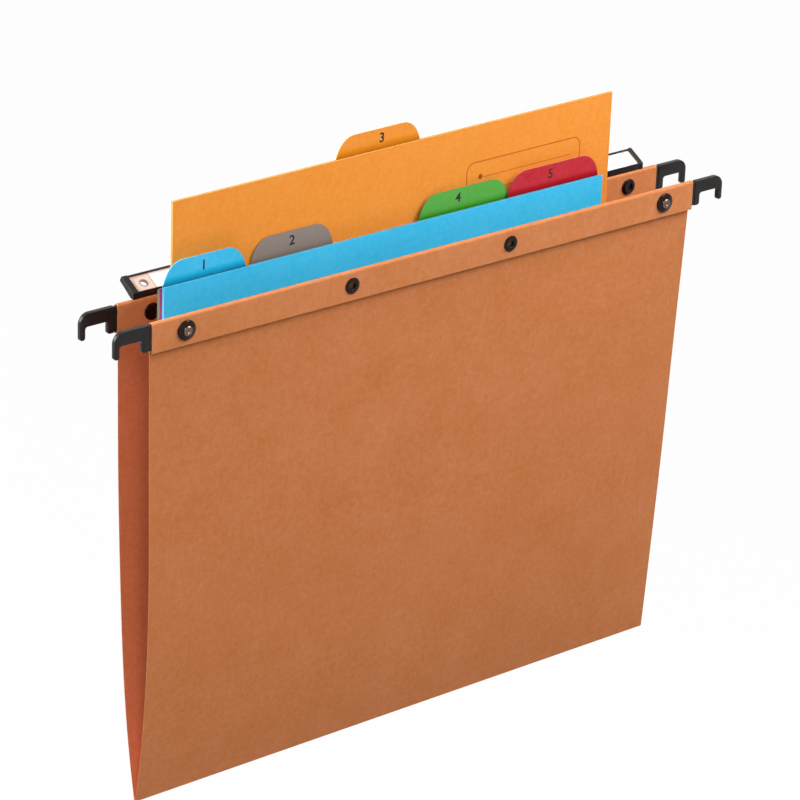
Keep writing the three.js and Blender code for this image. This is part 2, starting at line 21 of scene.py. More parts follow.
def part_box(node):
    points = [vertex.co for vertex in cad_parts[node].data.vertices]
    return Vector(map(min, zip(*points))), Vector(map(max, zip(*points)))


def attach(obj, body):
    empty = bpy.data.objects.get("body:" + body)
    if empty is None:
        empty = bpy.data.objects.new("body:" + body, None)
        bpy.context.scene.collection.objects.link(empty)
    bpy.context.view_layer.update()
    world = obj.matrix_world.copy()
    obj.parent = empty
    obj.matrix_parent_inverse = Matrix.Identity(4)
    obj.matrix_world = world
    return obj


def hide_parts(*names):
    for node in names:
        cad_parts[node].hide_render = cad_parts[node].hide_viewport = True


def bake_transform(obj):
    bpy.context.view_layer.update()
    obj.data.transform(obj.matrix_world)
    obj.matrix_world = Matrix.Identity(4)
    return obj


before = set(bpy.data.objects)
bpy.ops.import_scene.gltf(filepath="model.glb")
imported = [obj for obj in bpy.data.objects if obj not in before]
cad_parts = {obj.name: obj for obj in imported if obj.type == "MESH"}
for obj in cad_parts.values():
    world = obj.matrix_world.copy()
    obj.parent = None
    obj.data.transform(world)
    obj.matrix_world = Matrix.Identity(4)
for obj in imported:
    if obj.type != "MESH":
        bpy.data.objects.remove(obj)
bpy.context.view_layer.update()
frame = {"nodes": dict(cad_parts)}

LOG = logging.getLogger("suspension_file")
MM = 0.001

# Points nearer than MERGE are one, flats within FLAT are cleared, corners past CORNER are eased, and edges
# flatter than ROUND degrees are shaded round. SHARPEST is the least radius of a drawn corner. A face whose
# normal has more than SQUARE of X is a cut end
MERGE = 0.0005 * MM
CAD_MERGE = 0.002 * MM
FLAT = math.radians(1)
CORNER = math.radians(40)
ROUND = 35.0
SHARPEST = 0.001 * MM
SQUARE = 0.9

Point = tuple[float, float, float]
Material = bpy.types.Material
Node = bpy.types.Node
Socket = bpy.types.NodeSocket
Tree = bpy.types.NodeTree


class Sign(IntEnum):
    """A sign of an axis, with its word in the CAD nodes' names."""

    @property
    def word(self) -> str:
        """The word."""
        return self.name.lower()


class Side(Sign):
    """The rail that a piece belongs to: the sign of Y."""

    FRONT = -1
    REAR = 1


class End(Sign):
    """The end of the rails that a piece is at: the sign of X."""

    LEFT = -1
    RIGHT = 1


class Slot(Enum):
    """The record's material slots."""

    KRAFT = "kraft_card"
    BLUE = "blue_card"
    RED = "red_card"
    GREEN = "green_card"
    GREY = "grey_card"
    ORANGE = "orange_card"
    PLASTIC = "black_plastic"
    RIVET = "rivet_steel"


# Looks: node groups and materials


@dataclass(frozen=True)
class Noise:
    """One noise texture.

    Attributes:
        scale: Features per metre.
        detail: Octaves.
        roughness: How strongly the finer octaves show.
        stretch: Scale of each axis on top of that.
    """

    scale: float
    detail: float
    roughness: float
    stretch: Point = (1, 1, 1)


class NodeSheet:
    """A node tree with short calls to add and join its nodes.

    Attributes:
        ROW: Nodes in one row of the sheet.
        ACROSS: Space from one node to the next.
        DOWN: Space from one row to the next.
        COLOURS: The Mix node's two inputs that take colours.
        MIXED: Its output that gives one.
    """

    ROW = 9
    ACROSS = 220
    DOWN = 260
    COLOURS = (6, 7)
    MIXED = 2

    def __init__(self, tree: Tree) -> None:
        """Empties the tree and keeps it."""
        self.tree = tree
        tree.nodes.clear()

    def feed(self, value: object, target: Socket) -> None:
        """Links an output to an input, or writes a plain value there.

        Args:
            value: The output or the value.
            target: The input.
        """
        if isinstance(value, Socket):
            self.tree.links.new(value, target)
        else:
            target.default_value = value

    def add(self, kind: str, **values: object) -> Node:
        """Adds one node at the end of the last row.

        Args:
            kind: The node's type name, without the ShaderNode prefix where it has one.
            **values: Properties by name, and what goes into inputs by name with spaces as underscores.

        Returns:
            The new node.
        """
        row, column = divmod(len(self.tree.nodes), self.ROW)
        node = self.tree.nodes.new(kind if kind.startswith("Node") else f"ShaderNode{kind}")
        node.location = (self.ACROSS * column, -self.DOWN * row)
        for name, value in values.items():
            if hasattr(node, name):
                setattr(node, name, value)
            else:
                self.feed(value, node.inputs[name.replace("_", " ")])
        return node

    def math(self, operation: str, first: object, second: object = 0.0) -> Socket:
        """Adds a Math node.

        Args:
            operation: Blender's name of the operation.
            first: A socket or a number.
            second: A socket or a number.

        Returns:
            Its output.
        """
        node = self.add("Math", operation=operation)
        self.feed(first, node.inputs[0])
        self.feed(second, node.inputs[1])
        return node.outputs[0]

    def plus(self, first: object, second: object) -> Socket:
        """Adds two values."""
        return self.math("ADD", first, second)

    def times(self, first: object, second: object) -> Socket:
        """Multiplies two values."""
        return self.math("MULTIPLY", first, second)

    def about(self, value: Socket, amount: object) -> Socket:
        """Spreads a value from 0 to 1 about its middle: less one half, times the amount."""
        return self.times(self.math("SUBTRACT", value, 0.5), amount)

    def noise(self, place: Socket, kind: Noise) -> Socket:
        """Adds a noise texture.

        Args:
            place: The coordinates, in metres.
            kind: The noise.

        Returns:
            Its value, from 0 to 1.
        """
        mapping = self.add("Mapping", Vector=place, Scale=kind.stretch)
        texture = self.add("TexNoise", Vector=mapping.outputs[0], Scale=kind.scale, Detail=kind.detail,
                           Roughness=kind.roughness)
        return texture.outputs["Fac"]

    def mix(self, share: Socket, first: object, second: object) -> Socket:
        """Mixes two colours.

        Args:
            share: How much of the second shows.
            first: A socket or a colour.
            second: A socket or a colour.

        Returns:
            The mixed colour.
        """
        node = self.add("Mix", data_type="RGBA", Factor=share)
        for value, place in zip((first, second), self.COLOURS):
            self.feed(value, node.inputs[place])
        return node.outputs[self.MIXED]

    def skin(self, group: Tree, look: dict[str, object], skin: dict[str, object], relief: float = 0.0,
             depth: float = 0.0) -> None:
        """Joins a look group to a Principled skin: colour and roughness straight, height through a bump.

        Args:
            group: The look group.
            look: What goes into the group, apart from the place.
            skin: Plain values of the skin.
            relief: Strength of the bump, 0 for none.
            depth: Its depth in metres.
        """
        place = self.add("TexCoord").outputs["Object"]
        drawn = self.add("Group", node_tree=group, Vector=place, **look).outputs
        surface = self.add("BsdfPrincipled", Base_Color=drawn["Colour"], Roughness=drawn["Roughness"], **skin)
        if relief:
            bump = self.add("Bump", Strength=relief, Distance=depth, Height=drawn["Height"])
            self.feed(bump.outputs["Normal"], surface.inputs["Normal"])
        self.add("OutputMaterial", Surface=surface.outputs[0])


def linear(colour: Point) -> tuple[float, float, float, float]:
    """Turns a screen colour into the linear light that it stands for, by the curve of the sRGB standard.

    Args:
        colour: Red, green and blue from 0 to 255, as a screen shows them.

    Returns:
        Linear red, green, blue and an alpha of 1.
    """
    share = np.asarray(colour, float) / 255
    light = np.where(share <= 0.04045, share / 12.92, ((share + 0.055) / 1.055) ** 2.4)
    return (float(light[0]), float(light[1]), float(light[2]), 1.0)


def new_material(name: str) -> tuple[Material, NodeSheet]:
    """Starts a material.

    Args:
        name: Its name.

    Returns:
        The material and its node sheet.
    """
    made = bpy.data.materials.new(name)
    made.use_nodes = True
    return made, NodeSheet(made.node_tree)


def new_look(name: str, *numbers: str) -> tuple[NodeSheet, Node, Node]:
    """Starts a node group that turns a place and a colour into the colour, height and roughness there.

    Args:
        name: The group's name.
        *numbers: The names of its further inputs.

    Returns:
        The group's sheet, its input node and its output node.
    """
    tree = bpy.data.node_groups.new(name, "ShaderNodeTree")
    given = {"Vector": "Vector", "Colour": "Color"} | {number: "Float" for number in numbers}
    result = {"Colour": "Color", "Height": "Float", "Roughness": "Float"}
    for in_out, sockets in (("INPUT", given), ("OUTPUT", result)):
        for socket, kind in sockets.items():
            tree.interface.new_socket(socket, in_out=in_out, socket_type=f"NodeSocket{kind}")
    sheet = NodeSheet(tree)
    return sheet, sheet.add("NodeGroupInput"), sheet.add("NodeGroupOutput")


@dataclass(frozen=True)
class CardStock:
    """The look of pulp card: cloudy colour, mottled grain, long fibres and darker flecks.

    The tone adds cloud, mottle, grain and fibre noises about their middle, each times its amount, less the
    flecks and the shade. The colour's value is 1 plus the tone, and its saturation falls as the tone rises,
    because lighter pulp is paler. The height adds the grain and the fibres.

    Attributes:
        cloud: Noise of centimetres.
        mottle: Noise of millimetres.
        grain: Noise of tenths.
        along: Fibres along the rails.
        upright: Fibres up the card.
        flecks: Noise whose peaks are flecks.
        paler: How far the saturation falls as the tone rises.
    """

    cloud: Noise = Noise(38, 3, 0.6)
    mottle: Noise = Noise(330, 3, 0.6)
    grain: Noise = Noise(900, 5, 0.72)
    along: Noise = Noise(420, 3, 0.6, (0.22, 0.22, 1.5))
    upright: Noise = Noise(420, 3, 0.6, (1.5, 1.5, 0.25))
    flecks: Noise = Noise(1500, 2, 0.5, (0.6, 0.6, 1.4))
    fibre_tone: float = 0.6
    fibre_height: float = 0.8
    paler: float = 0.5
    fleck_from: float = 0.66
    fleck_to: float = 0.74
    smooth: float = 0.68
    rough: float = 0.2

    def group(self) -> Tree:
        """Builds the node group.

        Returns:
            The group.
        """
        sheet, given, result = new_look("card_stock", "Cloud", "Grain", "Fleck", "Shade")
        cloud, mottle, grain, along, upright, flecks = (
            sheet.noise(given.outputs["Vector"], kind)
            for kind in (self.cloud, self.mottle, self.grain, self.along, self.upright, self.flecks))
        fibres = sheet.times(sheet.plus(along, upright), 0.5)
        fine = sheet.plus(sheet.about(grain, 1.0), sheet.about(mottle, 1.0))
        fine = sheet.plus(fine, sheet.about(fibres, self.fibre_tone))
        fine = sheet.times(fine, given.outputs["Grain"])
        tone = sheet.plus(sheet.about(cloud, given.outputs["Cloud"]), fine)
        speck = sheet.add("MapRange", From_Min=self.fleck_from, From_Max=self.fleck_to, Value=flecks)
        tone = sheet.math("SUBTRACT", tone, sheet.times(speck.outputs[0], given.outputs["Fleck"]))
        tone = sheet.math("SUBTRACT", tone, given.outputs["Shade"])
        toned = sheet.add("HueSaturation", Color=given.outputs["Colour"], Value=sheet.plus(tone, 1.0),
                          Saturation=sheet.math("SUBTRACT", 1.0, sheet.times(tone, self.paler)))
        sheet.feed(toned.outputs["Color"], result.inputs["Colour"])
        sheet.feed(sheet.plus(grain, sheet.times(fibres, self.fibre_height)), result.inputs["Height"])
        sheet.feed(sheet.plus(sheet.times(grain, self.rough), self.smooth), result.inputs["Roughness"])
        return sheet.tree


@dataclass(frozen=True)
class MouldedSkin:
    """The look of a moulded or stamped skin: a spark-eroded grain and faint rubbed patches.

    Attributes:
        grain: Noise of the relief.
        patches: Noise of the rubbed patches.
        uneven: How far the roughness varies with the patches.
    """

    grain: Noise = Noise(2600, 2, 0.5)
    patches: Noise = Noise(160, 4, 0.65)
    uneven: float = 0.25

    def group(self) -> Tree:
        """Builds the node group.

        Returns:
            The group.
        """
        sheet, given, result = new_look("moulded_skin", "Rubbed", "Base Roughness")
        patches = sheet.noise(given.outputs["Vector"], self.patches)
        rubbed = sheet.plus(sheet.about(patches, given.outputs["Rubbed"]), 1.0)
        toned = sheet.add("HueSaturation", Color=given.outputs["Colour"], Value=rubbed)
        uneven = sheet.about(patches, self.uneven)
        sheet.feed(toned.outputs["Color"], result.inputs["Colour"])
        sheet.feed(sheet.noise(given.outputs["Vector"], self.grain), result.inputs["Height"])
        sheet.feed(sheet.plus(given.outputs["Base Roughness"], uneven), result.inputs["Roughness"])
        return sheet.tree


@dataclass(frozen=True)
class CardFinish:
    """A matte card, dyed or plain kraft.

    Attributes:
        name: The material's name.
        colour: Its screen colour.
        cloud: How far the colour wanders over centimetres.
        grain: How far it wanders from fibre to fibre.
        fleck: How dark its flecks are.
        relief: Strength of the bump.
        score: How dark the painted shade at a tab's foot is, standing in for the shade between a tab and the
            leaf in front of it.
    """

    name: str
    colour: Point
    cloud: float = 0.08
    grain: float = 0.12
    fleck: float = 0.03
    relief: float = 0.25
    score: float = 0.42
    depth: float = 0.12 * MM
    shine: float = 0.14
    nap: float = 0.03
    nap_roughness: float = 0.6

    def material(self, stock: Tree) -> Material:
        """Makes the material.

        Args:
            stock: The card stock group.

        Returns:
            The material.
        """
        made, sheet = new_material(self.name)
        # Painted shade at a tab's foot, read from the points' attribute
        scored = sheet.add("Attribute", attribute_name="scored").outputs["Fac"]
        look = {"Colour": linear(self.colour), "Cloud": self.cloud, "Grain": self.grain, "Fleck": self.fleck,
                "Shade": sheet.times(scored, self.score)}
        skin = {"Specular_IOR_Level": self.shine, "Sheen_Weight": self.nap,
                "Sheen_Roughness": self.nap_roughness}
        sheet.skin(stock, look, skin, self.relief, self.depth)
        return made


@dataclass(frozen=True)
class SkinFinish:
    """A moulded plastic, plated metal or ink skin.

    Attributes:
        name: The material's name.
        colour: Its screen colour.
        roughness: Its roughness, about which the patches vary.
        metallic: 1 for metal.
        rubbed: How far the colour wanders in rubbed patches.
        relief: Strength of the moulded grain.
        shine: Specular level, 0.5 for plain plastic.
    """

    name: str
    colour: Point
    roughness: float
    metallic: float = 0.0
    rubbed: float = 0.2
    relief: float = 0.1
    shine: float = 0.3
    depth: float = 0.04 * MM

    def material(self, moulded: Tree) -> Material:
        """Makes the material.

        Args:
            moulded: The moulded skin group.

        Returns:
            The material.
        """
        made, sheet = new_material(self.name)
        look = {"Colour": linear(self.colour), "Rubbed": self.rubbed, "Base_Roughness": self.roughness}
        skin = {"Metallic": self.metallic, "Specular_IOR_Level": self.shine}
        sheet.skin(moulded, look, skin, self.relief, self.depth)
        return made


@dataclass(frozen=True)
class ClearFinish:
    """A clear plastic strip, faintly hazed.

    Attributes:
        alpha: How much it covers.
        smooth: Roughness between the streaks.
        haze: How much rougher the streaks are.
    """

    name: str = "clear_strip"
    colour: tuple[float, float, float, float] = (0.97, 0.98, 0.98, 1)
    alpha: float = 0.07
    index: float = 1.5
    smooth: float = 0.06
    haze: float = 0.06
    streaks: Noise = Noise(300, 3, 0.6, (0.1, 1, 1))

    def material(self) -> Material:
        """Makes the material.

        Returns:
            The material.
        """
        made, sheet = new_material(self.name)
        streaks = sheet.noise(sheet.add("TexCoord").outputs["Object"], self.streaks)
        skin = sheet.add("BsdfPrincipled", Base_Color=self.colour, Alpha=self.alpha, IOR=self.index,
                         Roughness=sheet.plus(sheet.times(streaks, self.haze), self.smooth))
        sheet.add("OutputMaterial", Surface=skin.outputs[0])
        return made


@dataclass(frozen=True)
class LabelFinish:
    """The white index label: a tinted patch and a fine rule at each end, and painted shade, a greyer stretch,
    at the right.

    Attributes:
        left_rule: Where the left patch ends, along X.
        right_rule: Where the right patch starts.
        grey_start: Where the painted shade at the right starts.
        hole: Middle of the round hole.
        ring: Outer radius of the dark ring round it.
    """

    left_rule: float
    right_rule: float
    grey_start: float
    hole: Point
    ring: float
    paper: Point = (246, 245, 249)
    patch: Point = (232, 202, 186)
    # Painted shade: the greyer paper at the right, standing in for the shadow that the orange sub-folder casts
    # there
    grey: Point = (212, 212, 224)
    rule: Point = (116, 96, 98)
    rule_width: float = 0.35 * MM
    cloud: float = 0.03
    grain: float = 0.04

    def material(self, stock: Tree) -> Material:
        """Makes the material.

        Args:
            stock: The card stock group.

        Returns:
            The material.
        """
        made, sheet = new_material("label_paper")
        place = sheet.add("TexCoord").outputs["Object"]
        along = sheet.add("SeparateXYZ", Vector=place).outputs["X"]
        ends = (sheet.math("LESS_THAN", along, self.left_rule),
                sheet.math("GREATER_THAN", along, self.right_rule))
        rules = [sheet.math("LESS_THAN", sheet.math("ABSOLUTE", sheet.math("SUBTRACT", along, edge)),
                            self.rule_width / 2) for edge in (self.left_rule, self.right_rule)]
        reach = sheet.add("VectorMath", operation="DISTANCE")
        sheet.feed(place, reach.inputs[0])
        sheet.feed(self.hole, reach.inputs[1])
        ring = sheet.math("LESS_THAN", reach.outputs["Value"], self.ring)
        # Painted shade over the label's right stretch
        in_painted_shade = sheet.math("GREATER_THAN", along, self.grey_start)
        ground = sheet.mix(in_painted_shade, linear(self.paper), linear(self.grey))
        tinted = sheet.mix(sheet.math("MAXIMUM", *ends), ground, linear(self.patch))
        marks = sheet.math("MAXIMUM", sheet.math("MAXIMUM", *rules), ring)
        drawn = sheet.mix(marks, tinted, linear(self.rule))
        sheet.skin(stock, {"Colour": drawn, "Cloud": self.cloud, "Grain": self.grain}, {})
        return made


KRAFT_FACE = CardFinish("kraft_face", (193, 117, 68), cloud=0.14, grain=0.2, fleck=0.06, relief=0.3)
# A lighter copy of the kraft for the panels' inner side: painted light inside the pocket
KRAFT_INNER_LIGHTENED = CardFinish("kraft_inner_face", (212, 125, 84), cloud=0.12, grain=0.18, fleck=0.06, relief=0.3)
# A lighter copy of the kraft for the hems: painted light on the hems, which stand proud of the panels
KRAFT_HEM_LIGHTENED = CardFinish("kraft_hem_face", (197, 122, 73), cloud=0.14, grain=0.2, fleck=0.06, relief=0.3)
KRAFT_EDGE = CardFinish("kraft_cut_edge", (150, 86, 54), cloud=0.05, grain=0.25, fleck=0.08, relief=0.5)
# The dyed cards, each with its cut edge; some set a darker painted shade at their tabs' foot
CARDS = {
    Slot.BLUE: (CardFinish("blue_card_face", (60, 186, 232), score=0.6),
                CardFinish("blue_cut_edge", (104, 190, 226))),
    Slot.RED: (CardFinish("red_card_face", (188, 42, 53), score=0.7),
               CardFinish("red_cut_edge", (140, 60, 112))),
    Slot.GREEN: (CardFinish("green_card_face", (86, 166, 68), score=0.6),
                 CardFinish("green_cut_edge", (104, 130, 84))),
    Slot.GREY: (CardFinish("grey_card_face", (142, 129, 121)),
                CardFinish("grey_cut_edge", (122, 104, 108))),
    Slot.ORANGE: (CardFinish("orange_card_face", (234, 145, 54), cloud=0.06),
                  CardFinish("orange_cut_edge", (250, 188, 112))),
}
PLASTIC = SkinFinish("black_moulded", (25, 19, 19), roughness=0.3, shine=0.24)
LACQUER = SkinFinish("black_lacquer", (46, 36, 33), roughness=0.18, metallic=1.0, relief=0.01)
NICKEL = SkinFinish("bronzed_nickel", (112, 92, 80), roughness=0.14, metallic=1.0, rubbed=0.1, relief=0.03)
ZINC = SkinFinish("zinc_rail", (176, 176, 174), roughness=0.38, metallic=1.0, rubbed=0.25, relief=0.2)
TAB_INK = SkinFinish("tab_ink", (34, 32, 36), roughness=0.7, relief=0.0)
RULE_INK = SkinFinish("form_ink", (198, 102, 26), roughness=0.8, relief=0.0)
DOT_INK = SkinFinish("dot_ink", (160, 66, 14), roughness=0.8, relief=0.0)


class Finishes:
    """Every material of the object, made once."""

    def __init__(self) -> None:
        """Builds the shared node groups and the materials."""
        self.stock = CardStock().group()
        moulded = MouldedSkin().group()
        self.kraft, self.kraft_inner, self.kraft_hem, self.kraft_edge = (
            finish.material(self.stock) for finish in (KRAFT_FACE, KRAFT_INNER_LIGHTENED, KRAFT_HEM_LIGHTENED, KRAFT_EDGE))
        self.cards = {slot: [finish.material(self.stock) for finish in pair] for slot, pair in CARDS.items()}
        self.plastic, self.lacquer, self.nickel, self.zinc, self.tab_ink, self.rule_ink, self.dot_ink = (
            finish.material(moulded)
            for finish in (PLASTIC, LACQUER, NICKEL, ZINC, TAB_INK, RULE_INK, DOT_INK))
        self.clear = ClearFinish().material()


# Shapes: whole arrays of points, and the faces between them


@dataclass
class Outline:
    """A closed flat curve.

    Attributes:
        points: Its points, one row each.
        normals: The unit direction out of the curve at each point.
    """

    points: np.ndarray
    normals: np.ndarray

    def rings(self, insets: np.ndarray, places: np.ndarray) -> np.ndarray:
        """Repeats the curve along Y: each ring is inset by its own amount and stands at its own place.

        Args:
            insets: How far each ring is inset.
            places: Where each ring stands.

        Returns:
            The rings' points, a row for each ring.
        """
        flat = self.points - self.normals * insets[:, None, None]
        depth = np.broadcast_to(places[:, None], flat.shape[:2])
        return np.stack([flat[..., 0], depth, flat[..., 1]], -1)


@dataclass
class Solid:
    """A closed mesh in the making.

    Attributes:
        vertices: Its points.
        faces: Its faces, each a row of point numbers.
        part: For each face of card, 0 on the outer side, 1 on a cut edge and 2 on the inner side.
        scored: For each point, how strongly the painted shade at a tab's foot darkens it.
    """

    vertices: np.ndarray
    faces: list[Sequence[int]]
    part: np.ndarray | None = None
    scored: np.ndarray | None = None

    def facing_out(self) -> "Solid":
        """Turns every face round if the solid's volume, summed over fans of its faces, is negative.

        Returns:
            The solid itself.
        """
        total = 0.0
        for count in {len(face) for face in self.faces}:
            rows = np.array([face for face in self.faces if len(face) == count])
            first = self.vertices[rows[:, 0]]
            for corner in range(1, count - 1):
                second = self.vertices[rows[:, corner]]
                third = self.vertices[rows[:, corner + 1]]
                total += float(np.einsum("ij,ij->", first, np.cross(second, third)))
        if total < 0:
            self.faces = [face[::-1] for face in self.faces]
        return self


def rounded_outline(corners: Sequence[Point], steps: int = 8) -> Outline:
    """Draws a closed curve of straight runs and round corners.

    Each corner's arc touches both runs: its centre lies on the corner's bisector, at the radius over the sine
    of half the corner's angle, and the arc is sampled by angle.

    Args:
        corners: Across, up and radius of each corner, in order round the curve.
        steps: Points on each arc, less one.

    Returns:
        The outline.
    """
    table = np.array(corners, float)
    spot, radius = table[:, :2], np.maximum(table[:, 2], SHARPEST)
    back = np.roll(spot, 1, 0) - spot
    ahead = np.roll(spot, -1, 0) - spot
    back /= np.linalg.norm(back, axis=1, keepdims=True)
    ahead /= np.linalg.norm(ahead, axis=1, keepdims=True)
    half = np.arccos(np.clip(np.sum(back * ahead, 1), -1, 1)) / 2
    bisector = back + ahead
    bisector /= np.maximum(np.linalg.norm(bisector, axis=1, keepdims=True), 1e-9)
    centre = spot + bisector * (radius / np.sin(half))[:, None]
    start = spot + back * (radius / np.tan(half))[:, None] - centre
    stop = spot + ahead * (radius / np.tan(half))[:, None] - centre
    first = np.arctan2(start[:, 1], start[:, 0])
    sweep = (np.arctan2(stop[:, 1], stop[:, 0]) - first + np.pi) % (2 * np.pi) - np.pi
    angle = first[:, None] + sweep[:, None] * np.linspace(0, 1, steps + 1)
    ray = np.stack([np.cos(angle), np.sin(angle)], -1)
    points = centre[:, None] + ray * radius[:, None, None]
    area = np.sum(spot[:, 0] * np.roll(spot[:, 1], -1) - spot[:, 1] * np.roll(spot[:, 0], -1))
    outward = ray * (np.sign(sweep) * np.sign(area))[:, None, None]
    return Outline(points.reshape(-1, 2), outward.reshape(-1, 2))


def box_outline(left: float, right: float, top: float, foot: float, corner: float, steps: int) -> Outline:
    """Draws an upright box with round corners."""
    places = ((left, top), (left, foot), (right, foot), (right, top))
    return rounded_outline([(x, z, corner) for x, z in places], steps)


def circle_outline(across: float, up: float, radius: float, steps: int = 24) -> Outline:
    """Draws a circle: its points are its centre plus the radius times each ray.

    Args:
        across: Its centre's place across.
        up: Its centre's place up.
        radius: Its radius.
        steps: Its points.

    Returns:
        The outline.
    """
    angle = np.arange(steps) * 2 * np.pi / steps
    ray = np.stack([np.cos(angle), np.sin(angle)], -1)
    return Outline(np.array([across, up]) + ray * radius, ray)


def looped_faces(rings: int, points: int) -> np.ndarray:
    """Lists the quads between rings that each close on themselves.

    Args:
        rings: How many rings.
        points: Points on each ring.

    Returns:
        One row of four point numbers for each quad.
    """
    ring = np.arange(rings - 1)[:, None] * points
    here = np.arange(points)[None, :]
    after = (here + 1) % points
    quads = np.stack([ring + here, ring + after, ring + points + after, ring + points + here], -1)
    return quads.reshape(-1, 4)


def plate(outline: Outline, low: float, high: float, edge: float, steps: int = 4) -> Solid:
    """Carries an outline along Y, with both rims rounded.

    Ring by ring, the outline is inset by edge times one less the sine of the rim's angle, and stands edge
    times one less its cosine from the end.

    Args:
        outline: The flat curve, across and up.
        low: Where the plate starts along Y.
        high: Where it ends.
        edge: Radius of its rims.
        steps: Rings on each rim, less one.

    Returns:
        The closed solid.
    """
    angle = np.linspace(0, np.pi / 2, steps + 1)
    inset = edge * (1 - np.sin(angle))
    rise = edge * (1 - np.cos(angle))
    places = np.concatenate([low + rise, (high - rise)[::-1]])
    points = outline.rings(np.concatenate([inset, inset[::-1]]), places)
    count = len(outline.points)
    faces: list[Sequence[int]] = looped_faces(len(places), count).tolist()
    faces.append(list(range(count))[::-1])
    faces.append([(len(places) - 1) * count + place for place in range(count)])
    return Solid(points.reshape(-1, 3), faces).facing_out()


def band(outline: Outline, width: float, low: float, high: float) -> Solid:
    """Draws a thin closed line of print along an outline.

    Its section is a rectangle, width wide about the outline and low to high along Y, carried round the curve.

    Args:
        outline: The flat curve, across and up.
        width: The line's width.
        low: Where its face starts along Y.
        high: Where it ends.

    Returns:
        The closed solid.
    """
    points = outline.rings(np.array([-width, width, width, -width]) / 2, np.array([low, low, high, high]))
    count = len(outline.points)
    faces = looped_faces(5, count) % (4 * count)
    return Solid(points.reshape(-1, 3), faces.tolist()).facing_out()


def turned(section: np.ndarray, x: float, face: float, z: float, side: Side, steps: int = 56) -> Solid:
    """Turns a closed section about an axis along Y.

    Each point keeps its radius and its height off the hem's face, and goes round the axis in even steps.

    Args:
        section: Radius and height off the face of each point, closed on itself.
        x: The axis's place along the rails.
        face: The hem's outer face, along Y.
        z: The axis's height.
        side: The way the piece stands off.
        steps: Steps round the axis.

    Returns:
        The closed solid.
    """
    angle = np.arange(steps) * 2 * np.pi / steps
    radius, height = np.maximum(section[:, 0], 0)[:, None], section[:, 1][:, None]
    depth = np.broadcast_to(face + side * height, (len(section), steps))
    points = np.stack([x + radius * np.cos(angle), depth, z + radius * np.sin(angle)], -1)
    faces = looped_faces(len(section) + 1, steps) % (len(section) * steps)
    return Solid(points.reshape(-1, 3), faces.tolist()).facing_out()


def card_sheet(outer: np.ndarray, inner: np.ndarray) -> Solid:
    """Closes two grids of points, the faces of a sheet of card, with strips round their edges.

    Args:
        outer: Rows and columns of points on one face.
        inner: The same on the other face.

    Returns:
        The closed solid, its faces told apart as outer, cut and inner.
    """
    rows, columns, _ = outer.shape
    size = rows * columns
    grid = np.arange(size).reshape(rows, columns)
    faces = np.stack([grid[:-1, :-1], grid[:-1, 1:], grid[1:, 1:], grid[1:, :-1]], -1).reshape(-1, 4)
    rim = np.concatenate([grid[0, :-1], grid[:-1, -1], grid[-1, :0:-1], grid[:0:-1, 0]])
    ahead = np.roll(rim, -1)
    strips = np.stack([ahead, rim, rim + size, ahead + size], -1)
    every = np.concatenate([faces, faces[:, ::-1] + size, strips])
    part = np.repeat([0, 2, 1], [len(faces), len(faces), len(strips)])
    points = np.concatenate([outer.reshape(-1, 3), inner.reshape(-1, 3)])
    return Solid(points, every.tolist(), part).facing_out()


def crossing_waves(x: np.ndarray, z: np.ndarray, waves: Sequence[tuple[float, ...]]) -> np.ndarray:
    """Adds up sines: for each wave, its height times the sine of along times x, up times z and its start.

    Args:
        x: Places along the rails.
        z: Heights.
        waves: Along, up, start and height of each wave.

    Returns:
        The sum at each place.
    """
    return sum(height * np.sin(along * x + up * z + start) for along, up, start, height in waves)


# Pieces: meshes with a body, a finish and the CAD nodes that they stand for


def in_scene(name: str, data: bpy.types.ID) -> bpy.types.Object:
    """Makes an object of some data and links it to the scene.

    Args:
        name: The object's name.
        data: Its mesh, curve, camera or lamp.

    Returns:
        The object.
    """
    made = bpy.data.objects.new(name, data)
    bpy.context.scene.collection.objects.link(made)
    return made


def give(mesh: bpy.types.Mesh, materials: Sequence[Material]) -> None:
    """Gives a mesh these materials and no others.

    Args:
        mesh: The mesh.
        materials: Its materials.
    """
    mesh.materials.clear()
    for material in materials:
        mesh.materials.append(material)


@contextmanager
def reworked(mesh: bpy.types.Mesh, merge: float) -> Iterator[bmesh.types.BMesh]:
    """Opens a mesh, merges its doubled points, lends it out and writes it back.

    Args:
        mesh: The mesh.
        merge: Points nearer than this are merged.

    Yields:
        The opened mesh.
    """
    work = bmesh.new()
    work.from_mesh(mesh)
    bmesh.ops.remove_doubles(work, verts=work.verts, dist=merge)
    yield work
    work.to_mesh(mesh)
    work.free()


